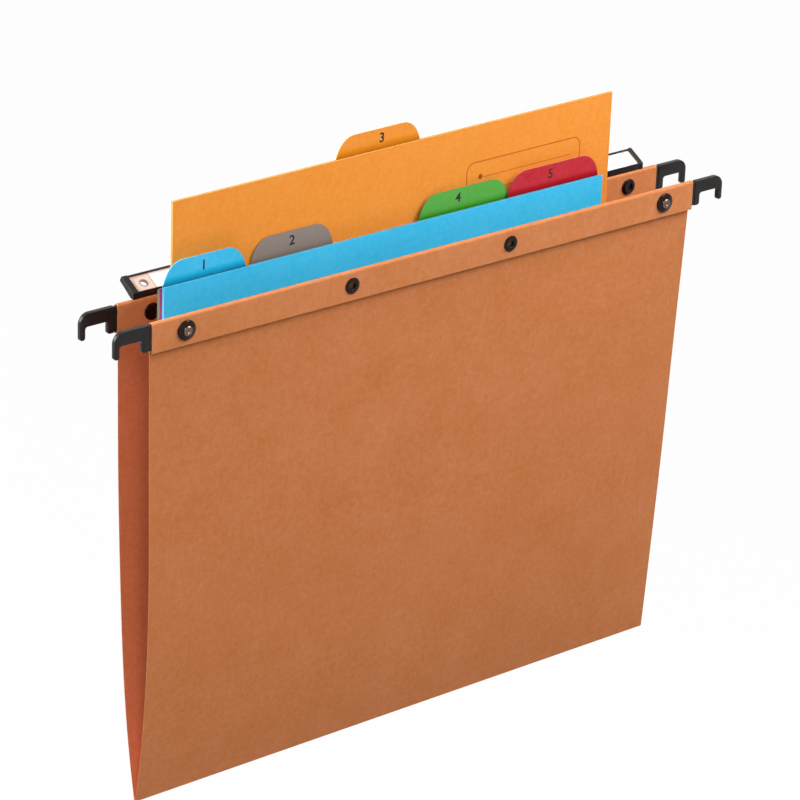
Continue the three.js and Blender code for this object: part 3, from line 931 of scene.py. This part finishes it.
@dataclass
class Dresser:
    """Puts finished meshes into the scene.

    Attributes:
        finishes: The object's materials.
        made: The pieces made so far, by name.
    """

    finishes: Finishes
    made: dict[str, bpy.types.Object] = field(default_factory=dict)

    def piece(self, name: str, solid: Solid, body: str, slot: Slot, materials: Sequence[Material],
              nodes: Sequence[str] = (), smooth: float = ROUND) -> bpy.types.Object:
        """Makes one piece from a solid.

        Args:
            name: The piece's name.
            solid: Its mesh.
            body: The CAD body that it rides on.
            slot: The record's slot that its finish belongs to.
            materials: Its material, then that of its cut edges and of its inner side if they differ.
            nodes: CAD nodes that it stands for.
            smooth: Edges flatter than this many degrees are shaded round.

        Returns:
            The new object.
        """
        mesh = bpy.data.meshes.new(name)
        mesh.from_pydata(solid.vertices.tolist(), [], solid.faces)
        give(mesh, materials)
        if solid.part is not None and len(materials) > 1:
            slots = np.where(solid.part < len(materials), solid.part, 0)
            mesh.polygons.foreach_set("material_index", slots.astype(np.int32))
        # Painted shade at a tab's foot, kept on the points
        if solid.scored is not None:
            mesh.attributes.new("scored", "FLOAT", "POINT").data.foreach_set("value", solid.scored)
        return self.finish(name, mesh, body, slot, nodes, smooth)

    def copy(self, node: str, body: str, slot: Slot, materials: Sequence[Material], bevel: float,
             smooth: float = ROUND) -> None:
        """Makes a finer copy of a CAD node: its points merged, its flats cleared and its edges eased.

        Args:
            node: The CAD node.
            body: The CAD body that it rides on.
            slot: The record's slot.
            materials: Its material, and that of faces cut square to the rails.
            bevel: Width of the eased edges.
            smooth: Edges flatter than this many degrees are shaded round.
        """
        mesh = frame["nodes"][node].data.copy()
        with reworked(mesh, CAD_MERGE) as work:
            bmesh.ops.dissolve_limit(work, angle_limit=FLAT, verts=work.verts, edges=work.edges)
            if len(materials) > 1:
                for face in work.faces:
                    face.material_index = int(abs(face.normal.x) > SQUARE)
        give(mesh, materials)
        made = self.finish(f"{node}_dressed", mesh, body, slot, [node], smooth)
        eased = made.modifiers.new("eased_edges", "BEVEL")
        eased.width = bevel
        eased.segments = 2
        eased.limit_method = "ANGLE"
        eased.angle_limit = CORNER
        made.modifiers.new("even_shading", "WEIGHTED_NORMAL").keep_sharp = True

    def finish(self, name: str, mesh: bpy.types.Mesh, body: str, slot: Slot, nodes: Sequence[str] = (),
               smooth: float = ROUND) -> bpy.types.Object:
        """Merges doubled points, shades the mesh and hangs it on its body.

        Args:
            name: The piece's name.
            mesh: Its mesh.
            body: The CAD body, or nothing for a piece that rides on no body.
            slot: The record's slot; not used.
            nodes: CAD nodes that it stands for.
            smooth: Edges flatter than this many degrees are shaded round.

        Returns:
            The new object.
        """
        with reworked(mesh, MERGE) as work:
            faces = len(work.faces)
        mesh.name = name
        mesh.shade_smooth()
        mesh.set_sharp_from_angle(angle=math.radians(smooth))
        made = in_scene(name, mesh)
        if nodes:
            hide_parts(*nodes)
        if body:
            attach(made, body)
        self.made[name] = made
        LOG.info("%s: %d faces, rides on %s", name, faces, body or "a blend")
        return made

    def paint(self, node: str, material: Material) -> None:
        """Gives a CAD node that stays as it is its material."""
        give(frame["nodes"][node].data, [material])
        LOG.info("%s keeps its CAD shape", node)


# The pocket


@dataclass
class Pocket:
    """The card pocket: two bowed panels, the fold between them and the two hems.

    Attributes:
        fold_gap: Space between the two panels at the fold.
        clear: Space between a hem and its panel's top edge.
        taper: How much narrower the pocket is at its fold than at its top, at each end.
        ease_from: Where the panels start to ease from full to empty, along X.
        easing: How suddenly they ease.
        filled: Power of the panels' curve where the sub-folders stand.
        empty: The same at the empty right end.
        ripple: Height of the card's slow waves.
        wave_fade: How gently the waves fade out at hem and fold.
        crease: How far the hems' edges are rounded.
    """

    card: float = 0.45 * MM
    fold_gap: float = 0.3 * MM
    fold_grid: tuple[int, int] = (17, 60)
    clear: float = 0.05 * MM
    taper: float = 2.7 * MM
    ease_from: float = -60 * MM
    easing: float = 8
    filled: float = 4
    empty: float = 1.05
    ripple: float = 0.22 * MM
    waves: tuple[tuple[float, ...], ...] = ((31, 9, 0.6, 1), (17, -37, 2.1, 0.7), (58, 21, 0, 0.5))
    wave_fade: float = 0.8
    crease: float = 0.3 * MM
    rows: int = 120
    columns: int = 110

    def half_width(self, x: np.ndarray, share: np.ndarray) -> np.ndarray:
        """Half the pocket's width.

        Where the sub-folders stand the panel draws in by the fourth power of its depth, and at the empty end
        nearly in proportion to it; the two are mixed by the eighth power of the way to that end.

        Args:
            x: Place along the rails.
            share: Share of the depth, from the hem at 0 to the fold at 1.

        Returns:
            The distance of the panel's inner face from the middle.
        """
        spread = -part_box("front_hem")[1][1]
        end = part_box("front_hem")[1][0]
        reach = np.clip((x - self.ease_from) / (end - self.ease_from), 0, None)
        empty = np.minimum(reach ** self.easing, 1)
        drawn = (1 - empty) * share ** self.filled + empty * share ** self.empty
        return spread * (1 - drawn) + drawn * self.fold_gap / 2

    def panel(self, side: Side) -> Solid:
        """Builds one panel: the bowed inner face, and the same a card's thickness further out.

        The face is half the pocket's width from the middle, plus slow waves that fade out at hem and fold.

        Args:
            side: The panel's side.

        Returns:
            The closed solid.
        """
        low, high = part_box(f"{side.word}_panel")
        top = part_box("front_hem")[0][2] - self.clear
        down = np.sin(np.linspace(0, np.pi / 2, self.rows))
        turn = np.sin(np.linspace(-np.pi / 2, np.pi / 2, self.columns))
        share = np.broadcast_to(down[:, None], (self.rows, self.columns))
        z = top + (low[2] - top) * share
        x = turn[None, :] * (high[0] - self.taper * share)
        fade = self.ripple * np.sin(np.pi * np.clip(share, 0, 1)) ** self.wave_fade
        near = self.half_width(x, share) + side * fade * crossing_waves(x, z, self.waves)
        faces = [np.stack([x, side * (near + wall), z], -1) for wall in (self.card, 0.0)]
        return card_sheet(*faces)

    def fold(self) -> Solid:
        """Builds the fold: half a ring of card from one panel's lower edge to the other's.

        Returns:
            The closed solid.
        """
        low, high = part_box("front_panel")
        end = high[0] - self.taper
        angle = np.linspace(0, np.pi, self.fold_grid[0])[:, None]
        x = np.broadcast_to(np.linspace(-end, end, self.fold_grid[1]), self.fold_grid)
        across, down = -np.cos(angle), np.sin(angle)
        faces = [np.stack(np.broadcast_arrays(x, radius * across, low[2] - radius * down), -1)
                 for radius in (self.fold_gap / 2 + self.card, self.fold_gap / 2)]
        return card_sheet(*faces)

    def build(self, dresser: Dresser) -> None:
        """Makes the panels, the fold and the hems, and paints the rails.

        Args:
            dresser: Takes the pieces.
        """
        look = dresser.finishes
        # The panels' inner side takes the lighter copy of the kraft, painted light inside the pocket
        card = [look.kraft, look.kraft_edge, look.kraft_inner]
        for side in Side:
            node = f"{side.word}_panel"
            dresser.piece(f"{node}_card", self.panel(side), node, Slot.KRAFT, card, [node])
        fold = dresser.piece("pocket_fold", self.fold(), "", Slot.KRAFT, card)
        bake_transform(fold)
        for side in Side:
            # The hems take the lighter copy of the kraft, painted light where they stand proud
            dresser.copy(f"{side.word}_hem", f"{side.word}_frame", Slot.KRAFT,
                         [look.kraft_hem, look.kraft_edge], bevel=self.crease, smooth=40)
            dresser.paint(f"{side.word}_rail", look.zinc)


# The hooks


@dataclass
class Hook:
    """One moulded hook: the bar over the drawer's rail, its two legs and the neck at the hem.

    Attributes:
        side: The rail that it belongs to.
        end: The end of the rails that it is at.
    """

    side: Side
    end: End
    hem_gap: float = 0.3 * MM
    neck_shown: float = 1.7 * MM
    neck_hidden: float = 2 * MM
    neck_thickness: float = 2.0 * MM
    neck_below_top: float = 0.5 * MM
    neck_above_foot: float = 0.3 * MM
    neck_corner: float = 0.3 * MM
    neck_rim: float = 0.2 * MM
    inner_leg: float = 5.5 * MM
    slot_width: float = 13.6 * MM
    slot_corner: float = 1.5 * MM
    outer_leg: float = 3.2 * MM
    top: float = 7.5 * MM
    foot: float = -7 * MM
    hem_corner: float = 0.5 * MM
    outer_corner: float = 6 * MM
    leg_corner: float = 1.4 * MM
    rim: float = 0.35 * MM
    mark_radius: float = 0.6 * MM
    mark_from_end: float = 2.4 * MM
    mark_from_top: float = 3 * MM
    mark_height: float = 0.12 * MM
    mark_root: float = 0.3 * MM
    mark_rim: float = 0.1 * MM

    def build(self, dresser: Dresser) -> None:
        """Makes the bar, the neck and the ejector mark near the outer corner.

        Args:
            dresser: Takes the pieces.
        """
        node = f"{self.side.word}_{self.end.word}_hook"
        low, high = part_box(node)
        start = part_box("front_hem")[1][0] + self.hem_gap
        middle = (low[1] + high[1]) / 2
        half = self.neck_thickness / 2
        outer = start + self.inner_leg + self.slot_width + self.outer_leg
        spot = circle_outline(self.end * (outer - self.mark_from_end), self.top - self.mark_from_top,
                              self.mark_radius)
        shapes = {
            "bar": plate(self.bar(start), low[1], high[1], self.rim),
            "neck": plate(self.block(start), middle - half, middle + half, self.neck_rim),
            "mark": plate(spot, low[1] - self.mark_height, low[1] + self.mark_root, self.mark_rim),
        }
        for name, solid in shapes.items():
            dresser.piece(f"{node}_{name}", solid, f"{self.side.word}_frame", Slot.PLASTIC,
                          [dresser.finishes.plastic], [node] if name == "bar" else [])

    def bar(self, start: float) -> Outline:
        """Draws the hook from the front: two legs and the slot between them.

        Args:
            start: The hook's start, from the middle.

        Returns:
            The outline.
        """
        left = start + self.neck_shown
        slot_start = start + self.inner_leg
        slot_end = slot_start + self.slot_width
        stop = slot_end + self.outer_leg
        corners = [
            (left, self.top, self.hem_corner),
            (left, self.foot, self.hem_corner),
            (slot_start, self.foot, self.leg_corner),
            (slot_start, 0, self.slot_corner),
            (slot_end, 0, self.slot_corner),
            (slot_end, self.foot, self.leg_corner),
            (stop, self.foot, self.leg_corner),
            (stop, self.top, self.outer_corner),
        ]
        return rounded_outline([(self.end * x, z, radius) for x, z, radius in corners], steps=10)

    def block(self, start: float) -> Outline:
        """Draws the neck, a plain block from inside the hem to the bar.

        Args:
            start: The hook's start, from the middle.

        Returns:
            The outline.
        """
        left, right = start - self.neck_hidden, start + self.neck_shown + self.rim
        top, foot = self.top - self.neck_below_top, self.foot + self.neck_above_foot
        return box_outline(self.end * left, self.end * right, top, foot, self.neck_corner, steps=4)


# The fasteners: sections of radius, height off the hem's face and corner radius, in millimetres. The rim of a
# rear eyelet stands further out than a front one's, by the leg of the index holder that it pins

COLLAR = ((1.6, 0.03, 0.1), (5.5, 0.03, 0.1), (5.5, 0.7, 0.3), (4.6, 1.15, 1.2), (3.1, 1.63, 0.5),
          (1.6, 1.63, 0.15))
RIVET = ((0, -3.53, 0), (3.2, -3.53, 0.2), (3.2, -3.03, 0.15), (1.45, -3.03, 0.1), (1.45, 1.66, 0.1),
         (2.7, 1.66, 0.15), (2.7, 1.95, 0.25), (1.9, 2.46, 0.6), (1.2, 2.46, 0.4), (0.7, 2.05, 0.3),
         (0, 2.05, 0))
SOCKET = ((0, -3.53, 0), (2.2, -3.53, 0.15), (2.2, -4.23, 0.3), (3.6, -4.23, 0.4), (4.6, -3.75, 0.3),
          (4.6, -3.03, 0.1), (3.0, -3.03, 0.1), (3.0, 0.03, 0.1), (5.2, 0.03, 0.1), (5.2, 1.0, 0.4),
          (3.6, 1.43, 0.6), (2.2, 1.43, 0.4), (2.2, -3.03, 0.1), (0, -3.03, 0))
FRONT_EYELET = ((1.8, -0.88, 0.1), (3.3, -0.88, 0.1), (3.3, -0.48, 0.1), (2.4, -0.48, 0.1), (2.4, 0.03, 0.1),
                (4.5, 0.03, 0.1), (4.5, 0.4, 0.18), (3.15, 0.93, 0.9), (1.8, 0.55, 0.4))
LEG = 1.12
REAR_EYELET = tuple((radius, height + LEG if height > 0 else height, corner)
                    for radius, height, corner in FRONT_EYELET)


@dataclass
class Fastener:
    """A round fastener of a hem, turned from its section.

    Attributes:
        node: The CAD node that it stands for.
        side: The hem that it belongs to.
        section: Its section.
        slot: The record's slot.
    """

    node: str
    side: Side
    section: Sequence[Point]
    slot: Slot = Slot.PLASTIC

    def build(self, dresser: Dresser, material: Material) -> None:
        """Makes the fastener where its CAD node is.

        Args:
            dresser: Takes the piece.
            material: Its material.
        """
        low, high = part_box(self.node)
        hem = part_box(f"{self.side.word}_hem")
        face = hem[0][1] if self.side is Side.FRONT else hem[1][1]
        outline = rounded_outline([(r * MM, h * MM, c * MM) for r, h, c in self.section], steps=5)
        solid = turned(outline.points, (low[0] + high[0]) / 2, face, (low[2] + high[2]) / 2, self.side)
        dresser.piece(f"{self.node}_turned", solid, f"{self.side.word}_frame", self.slot, [material],
                      [self.node], smooth=50)


def build_fasteners(dresser: Dresser) -> None:
    """Makes the press studs, sockets and eyelets.

    Args:
        dresser: Takes the pieces.
    """
    look = dresser.finishes
    for end in End:
        Fastener(f"{end.word}_stud_collar", Side.FRONT, COLLAR).build(dresser, look.lacquer)
        Fastener(f"{end.word}_stud_rivet", Side.FRONT, RIVET, Slot.RIVET).build(dresser, look.nickel)
        Fastener(f"{end.word}_socket", Side.REAR, SOCKET).build(dresser, look.lacquer)
        Fastener(f"front_{end.word}_eyelet", Side.FRONT, FRONT_EYELET).build(dresser, look.lacquer)
        Fastener(f"rear_{end.word}_eyelet", Side.REAR, REAR_EYELET).build(dresser, look.lacquer)


# The index strip


@dataclass
class IndexStrip:
    """The slanting index holder with its caps, label and window.

    Attributes:
        edge: Radius of its eased edges.
        left_patch: Length of the label's left patch.
        right_patch: Length of its right one.
        grey_end: Length of the painted shade, from the label's right end.
        hole: Radius of the round hole.
        hole_in: How far the hole's middle is from the label's left end.
        ring: Width of the dark ring printed round it.
    """

    edge: float = 0.15 * MM
    left_patch: float = 12 * MM
    right_patch: float = 4.2 * MM
    grey_end: float = 60 * MM
    hole: float = 1.9 * MM
    hole_in: float = 6.75 * MM
    ring: float = 0.7 * MM

    def build(self, dresser: Dresser) -> None:
        """Makes the holder and the caps, and paints the label and the window.

        Args:
            dresser: Takes the pieces.
        """
        look = dresser.finishes
        for node in ("index_holder", "index_left_cap", "index_right_cap"):
            dresser.copy(node, "rear_frame", Slot.PLASTIC, [look.plastic], self.edge)
        low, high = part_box("index_label")
        hole = (low[0] + self.hole_in, (low[1] + high[1]) / 2, (low[2] + high[2]) / 2)
        # The label's right stretch takes painted shade
        label = LabelFinish(low[0] + self.left_patch, high[0] - self.right_patch, high[0] - self.grey_end,
                            hole, self.hole + self.ring)
        dresser.paint("index_label", label.material(look.stock))
        dresser.paint("index_window", look.clear)


# The sub-folders


@dataclass
class SubFolder:
    """One folded card with an index tab on its rear leaf.

    Attributes:
        name: Its colour.
        slot: The record's slot.
        tab_start: Where its tab starts, from the leaf's left edge.
        tab_width: The tab's width.
        number: The plain number on the tab.
        number_at: The number's place along the tab.
        short: How far the leaves stop short of the full height under the tab.
        tilt: How far its right end is pulled up, in radians.
        tab_height: How far the tab stands above the full height.
        score_height: Half the height of the painted shade at the tab's foot.
    """

    name: str
    slot: Slot
    tab_start: float
    tab_width: float
    number: int
    number_at: float
    short: float = 0
    tilt: float = 0
    length: float = 292 * MM
    height: float = 266 * MM
    card: float = 0.4 * MM
    space: float = 0.5 * MM
    tab_height: float = 11.5 * MM
    tab_foot: float = 0.02 * MM
    shoulder: float = 12 * MM
    shoulder_run: Point = (0.12, 0.42, 1)
    shoulder_rise: Point = (0.5, 1, 1)
    shoulder_steps: int = 18
    columns: int = 60
    leaf_rows: int = 40
    fold_rows: int = 13
    tip_rows: int = 25
    lean: float = math.radians(0.66)
    tab_root: float = 2 * MM
    score_height: float = 2.6 * MM
    number_size: float = 7.4 * MM
    number_up: float = 0.52
    boldness: float = 0.16 * MM
    print_depth: float = 0.02 * MM
    ripple: float = 0.1 * MM
    waves: tuple[tuple[float, ...], ...] = ((26, 8, 1, 1), (13, -29, 0, 0.6))

    @property
    def node(self) -> str:
        """The CAD node and body."""
        return f"{self.name}_sub_folder"

    @property
    def thickness(self) -> float:
        """Both leaves and the space between them."""
        return 2 * self.card + self.space

    @property
    def edge(self) -> float:
        """Height of the leaves' top edges."""
        return self.height - self.short

    def placed(self, points: np.ndarray) -> np.ndarray:
        """Moves points from the folder's own frame to its place: rippled, tilted, leaned about its foot and
        carried there.

        Args:
            points: Points with X from the leaf's left edge, Y from its front face and Z from its fold.

        Returns:
            The points in the row frame.
        """
        low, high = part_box(self.node)
        x, y, z = np.moveaxis(points, -1, 0)
        y = y + self.ripple * crossing_waves(x, z, self.waves)
        along = x * math.cos(self.tilt) - z * math.sin(self.tilt)
        rise = x * math.sin(self.tilt) + z * math.cos(self.tilt)
        across = y * math.cos(self.lean) - rise * math.sin(self.lean)
        up = y * math.sin(self.lean) + rise * math.cos(self.lean)
        corner = low[0] + self.edge * math.sin(self.tilt)
        foot = high[1] - self.thickness * math.cos(self.lean)
        return np.stack([corner + along, foot + across, low[2] + up], -1)

    def rear_edge(self) -> tuple[np.ndarray, np.ndarray]:
        """Draws the rear leaf's top edge with its tab.

        Each shoulder is a cubic curve that leaves the leaf's edge steeply and runs level into the tab's top:
        its points add up the shares of the run and of the rise, each times its weight. Places that agree to
        seven decimals of a metre are one.

        Returns:
            Places along the leaf, and the edge's height at each.
        """
        t = np.linspace(0, 1, self.shoulder_steps)
        weights = (3 * t * (1 - t) ** 2, 3 * t ** 2 * (1 - t), t ** 3)
        run, rise = (sum(share * weight for share, weight in zip(shares, weights))
                     for shares in (self.shoulder_run, self.shoulder_rise))
        run, rise = self.shoulder * run, self.height + self.tab_height * rise
        stop = self.tab_start + self.tab_width
        foot = self.tab_foot if self.short else 0.0
        places = np.concatenate([[self.tab_start - foot], self.tab_start + run, stop - run[::-1],
                                 [stop + foot]])
        heights = np.concatenate([[self.edge], rise, rise[::-1], [self.edge]])
        every = np.concatenate([np.linspace(0, self.length, self.columns), places])
        x = np.unique(np.clip(every, 0, self.length).round(7))
        return x, np.interp(x, places, heights, left=self.edge, right=self.edge)

    def folded_card(self) -> Solid:
        """Builds the card: down the front leaf, round the fold and up the rear leaf to its tabbed edge.

        Returns:
            The closed solid, its top and side edges marked as cut and the foot of its tab carrying painted
            shade.
        """
        x, top_edge = self.rear_edge()
        half = self.thickness / 2
        angle = np.linspace(np.pi, 2 * np.pi, self.fold_rows)
        base = self.edge - self.tab_root
        down = np.linspace(self.edge, half, self.leaf_rows)[:-1]
        up = np.linspace(half, base, self.leaf_rows)[1:]
        last = np.linspace(0, 1, self.tip_rows)[1:]
        top = base + last[:, None] * (top_edge[None, :] - base)
        sides, tab_shade_rows = [], []
        for inset in (0.0, self.card):
            radius = half - inset
            y = np.concatenate([np.full(down.shape, inset), half + radius * np.cos(angle),
                                np.full(up.shape, self.thickness - inset)])
            z = np.concatenate([down, half + radius * np.sin(angle), up])
            body = np.stack(np.broadcast_arrays(x[None, :], y[:, None], z[:, None]), -1)
            tip = np.stack(np.broadcast_arrays(x[None, :], self.thickness - inset, top), -1)
            whole = np.concatenate([body, tip])
            # Painted shade on the front of the rear leaf, darkest at the front leaf's top edge, where the tab
            # rises behind it
            tab_shade_falloff = np.exp(-((whole[..., 2] - self.edge) / self.score_height) ** 2)
            on_face = np.arange(len(whole))[:, None] >= len(body) - 1
            tab_shade_rows.append(np.where(on_face & (inset > 0), tab_shade_falloff, 0.0).ravel())
            sides.append(self.placed(whole))
        card = card_sheet(*sides)
        card.scored = np.concatenate(tab_shade_rows)
        return card

    def print_number(self, dresser: Dresser) -> None:
        """Prints the tab's number on the front of the rear leaf.

        Args:
            dresser: Takes the piece.
        """
        curve = bpy.data.curves.new(f"{self.name}_number_text", "FONT")
        curve.body = str(self.number)
        curve.size = self.number_size
        curve.offset = self.boldness
        curve.align_x = curve.align_y = "CENTER"
        curve.resolution_u = 6
        curve.extrude = self.print_depth / 2
        text = in_scene(curve.name, curve)
        bpy.context.view_layer.update()
        mesh = bpy.data.meshes.new_from_object(text.evaluated_get(bpy.context.evaluated_depsgraph_get()))
        bpy.data.objects.remove(text)
        flat = np.empty(3 * len(mesh.vertices))
        mesh.vertices.foreach_get("co", flat)
        across, up, out = flat.reshape(-1, 3).T
        face = self.thickness - self.card - self.print_depth / 2
        middle = self.height + self.number_up * self.tab_height
        points = np.stack([self.tab_start + self.number_at + across, face - out, middle + up], -1)
        mesh.vertices.foreach_set("co", self.placed(points).ravel())
        give(mesh, [dresser.finishes.tab_ink])
        dresser.finish(f"{self.name}_tab_number", mesh, self.node, self.slot)

    def build(self, dresser: Dresser) -> None:
        """Makes the card and prints its number.

        Args:
            dresser: Takes the pieces.
        """
        dresser.piece(f"{self.name}_card", self.folded_card(), self.node, self.slot,
                      dresser.finishes.cards[self.slot], [self.node])
        self.print_number(dresser)


@dataclass
class WritingFrame:
    """The form printed on a sub-folder's front leaf: a rounded frame, a dot and ruled lines.

    Attributes:
        folder: The sub-folder.
        start: The frame's left side, from the leaf's left edge.
        top: Its top, down from the leaf's top edge.
    """

    folder: SubFolder
    start: float = 191.5 * MM
    width: float = 79 * MM
    top: float = 21.0 * MM
    height: float = 62 * MM
    corner: float = 5 * MM
    line: float = 0.75 * MM
    dot: float = 1.5 * MM
    dot_in: float = 9.5 * MM
    dot_up: float = 0.3 * MM
    first_rule: float = 9 * MM
    rule_step: float = 8 * MM
    rules: int = 6
    rule_gap: float = 2 * MM
    rule_end: float = 7 * MM
    rule_line: float = 0.6
    rule_corner: float = 0.1 * MM
    rim: float = 0.005 * MM

    def build(self, dresser: Dresser) -> None:
        """Prints the frame, the dot and the rules.

        Args:
            dresser: Takes the pieces.
        """
        look = dresser.finishes
        depth = self.folder.print_depth
        top = self.folder.edge - self.top
        stop = self.start + self.width
        frame_line = box_outline(self.start, stop, top, top - self.height, self.corner, steps=8)
        self.print(dresser, "frame", band(frame_line, self.line, -depth, depth), look.rule_ink)
        for place in range(self.rules):
            z = top - self.first_rule - place * self.rule_step
            rule = box_outline(self.start + self.dot_in + self.rule_gap, stop - self.rule_end, z,
                               z - self.rule_line * self.line, self.rule_corner, steps=3)
            self.print(dresser, f"rule_{place + 1}", plate(rule, -depth, depth, self.rim, steps=1),
                       look.rule_ink)
        spot = circle_outline(self.start + self.dot_in, top - self.first_rule + self.dot_up, self.dot)
        self.print(dresser, "dot", plate(spot, -depth, depth, self.rim, steps=1), look.dot_ink)

    def print(self, dresser: Dresser, name: str, solid: Solid, ink: Material) -> None:
        """Lays one printed shape on the leaf."""
        solid.vertices = self.folder.placed(solid.vertices)
        dresser.piece(f"{self.folder.name}_form_{name}", solid, self.folder.node, self.folder.slot, [ink])


# Name, slot, the tab's start and width, its number and the number's place
SUB_FOLDERS = (
    SubFolder("blue", Slot.BLUE, 0.0, 51.5 * MM, 1, 25 * MM, tab_height=12.5 * MM),
    SubFolder("red", Slot.RED, 227.8 * MM, 63 * MM, 5, 29 * MM, short=2.8 * MM),
    SubFolder("green", Slot.GREEN, 167.5 * MM, 60.5 * MM, 4, 26 * MM, short=2.3 * MM),
    SubFolder("grey", Slot.GREY, 58 * MM, 52.5 * MM, 2, 26 * MM, short=2.2 * MM),
    SubFolder("orange", Slot.ORANGE, 103.5 * MM, 55.5 * MM, 3, 30 * MM, tilt=math.radians(0.43)),
)


# The studio


@dataclass(frozen=True)
class PhotoCamera:
    """The camera of the photograph, found from the object's own landmarks.

    Attributes:
        place: Where it stands, in metres.
        yaw: Turned from +Y towards +X, in degrees.
        pitch: Looking down, in degrees.
        roll: Turned about its own axis, in degrees.
        focal: Focal length in pixels of the photograph's frame.
        frame: The photograph's width in pixels.
    """

    place: Point = (-1.2287, -1.48448, 0.75913)
    yaw: float = 39.4376
    pitch: float = 23.6523
    roll: float = 2.0653
    focal: float = 3917.28
    frame: float = 800
    sensor: float = 36
    far: float = 50

    def build(self) -> None:
        """Creates the camera and makes it the scene's."""
        data = bpy.data.cameras.new("photo_camera")
        data.sensor_fit = "HORIZONTAL"
        data.sensor_width = self.sensor
        data.lens = self.focal / self.frame * self.sensor
        data.clip_end = self.far
        yaw, pitch, roll = map(math.radians, (self.yaw, self.pitch, self.roll))
        ahead = np.array([math.sin(yaw) * math.cos(pitch), math.cos(yaw) * math.cos(pitch), -math.sin(pitch)])
        level = np.array([math.cos(yaw), -math.sin(yaw), 0])
        up = np.cross(level, ahead)
        right = math.cos(roll) * level + math.sin(roll) * up
        top = -math.sin(roll) * level + math.cos(roll) * up
        turn = Matrix(np.stack([right, top, -ahead], 1).tolist()).to_4x4()
        camera = in_scene("photo_camera", data)
        camera.matrix_world = Matrix.Translation(self.place) @ turn
        bpy.context.scene.camera = camera


@dataclass(frozen=True)
class SoftLamp:
    """A square soft lamp that looks at the object.

    Attributes:
        name: The lamp's name.
        place: Where it stands.
        size: Its side.
        power: Its power in watts.
        aim: The place that it looks at.
    """

    name: str
    place: Point
    size: float
    power: float
    aim: Point = (0, 0, -0.1)

    def build(self) -> None:
        """Hangs the lamp, out of the camera's sight."""
        data = bpy.data.lights.new(self.name, "AREA")
        data.size = self.size
        data.energy = self.power
        lamp = in_scene(self.name, data)
        lamp.location = self.place
        lamp.visible_camera = False
        lamp.rotation_mode = "QUATERNION"
        lamp.rotation_quaternion = (Vector(self.place) - Vector(self.aim)).to_track_quat("Z", "Y")


LAMPS = (
    SoftLamp("key", (0.56, -0.5, 0.74), 0.8, 16.5),
    SoftLamp("fill", (-1.1, -1.3, 1.0), 0.9, 10.5),
    SoftLamp("back", (-1.5, 1.3, 0.7), 1.2, 42),
    SoftLamp("left", (-1.3, 0.15, 0.8), 0.8, 30),
)


@dataclass
class Studio:
    """Plain soft light over a pale floor.

    Attributes:
        floor: The floor's height.
        half: Half the floor's side.
        tone: How much light the floor throws back.
        glow: How white the floor looks, 1 for white.
        ambient: Strength of the world's light.
    """

    floor: float = -0.62
    half: float = 6.0
    tone: float = 0.5
    glow: float = 0.98
    ambient: float = 0.1

    def build(self) -> None:
        """Makes the floor, the world and the lamps."""
        self.make_floor()
        self.make_world()
        for lamp in LAMPS:
            lamp.build()
        bpy.context.scene.view_settings.view_transform = "Standard"

    @staticmethod
    def show(nodes: NodeSheet, lit: Node, shown: Node, share: float, output: str) -> None:
        """Shows one shader to the camera, to reflections and through clear parts, and lights with another.

        Args:
            nodes: The node sheet.
            lit: The shader that other rays meet.
            shown: The shader that is seen.
            share: How much of it is seen.
            output: Type of the output node.
        """
        rays = nodes.add("LightPath").outputs
        seen = nodes.math("MAXIMUM", rays["Is Camera Ray"], rays["Is Glossy Ray"])
        seen = nodes.math("MAXIMUM", seen, rays["Is Transmission Ray"])
        mix = nodes.add("MixShader")
        for value, target in zip((nodes.times(seen, share), lit.outputs[0], shown.outputs[0]), mix.inputs):
            nodes.feed(value, target)
        nodes.add(output, Surface=mix.outputs[0])

    def make_floor(self) -> None:
        """Lays a wide pale floor that shows white to the camera but keeps the object's shadow."""
        mesh = bpy.data.meshes.new("floor")
        signs = ((-1, -1), (1, -1), (1, 1), (-1, 1))
        corners = [(self.half * x, self.half * y, self.floor) for x, y in signs]
        mesh.from_pydata(corners, [], [(0, 1, 2, 3)])
        floor = in_scene("floor", mesh)
        material, nodes = new_material("pale_floor")
        diffuse = nodes.add("BsdfDiffuse", Color=(self.tone, self.tone, self.tone, 1))
        self.show(nodes, diffuse, nodes.add("Emission"), self.glow, "OutputMaterial")
        give(mesh, [material])

    def make_world(self) -> None:
        """Lights the scene evenly, and shows white to the camera and in reflections."""
        world = bpy.data.worlds.new("studio")
        bpy.context.scene.world = world
        world.use_nodes = True
        nodes = NodeSheet(world.node_tree)
        light = nodes.add("Background", Color=(1, 1, 1, 1), Strength=self.ambient)
        white = nodes.add("Background", Color=(1, 1, 1, 1), Strength=1.0)
        self.show(nodes, light, white, 1.0, "OutputWorld")


def main() -> None:
    """Builds the camera, the studio and every sub-assembly."""
    logging.basicConfig(level=logging.INFO, format="%(message)s")
    PhotoCamera().build()
    Studio().build()
    dresser = Dresser(Finishes())
    Pocket().build(dresser)
    for side in Side:
        for end in End:
            Hook(side, end).build(dresser)
    build_fasteners(dresser)
    IndexStrip().build(dresser)
    for folder in SUB_FOLDERS:
        folder.build(dresser)
        if folder.slot is Slot.ORANGE:
            WritingFrame(folder).build(dresser)
    LOG.info("%d pieces", len(dresser.made))


if __name__ == "__main__":
    main()
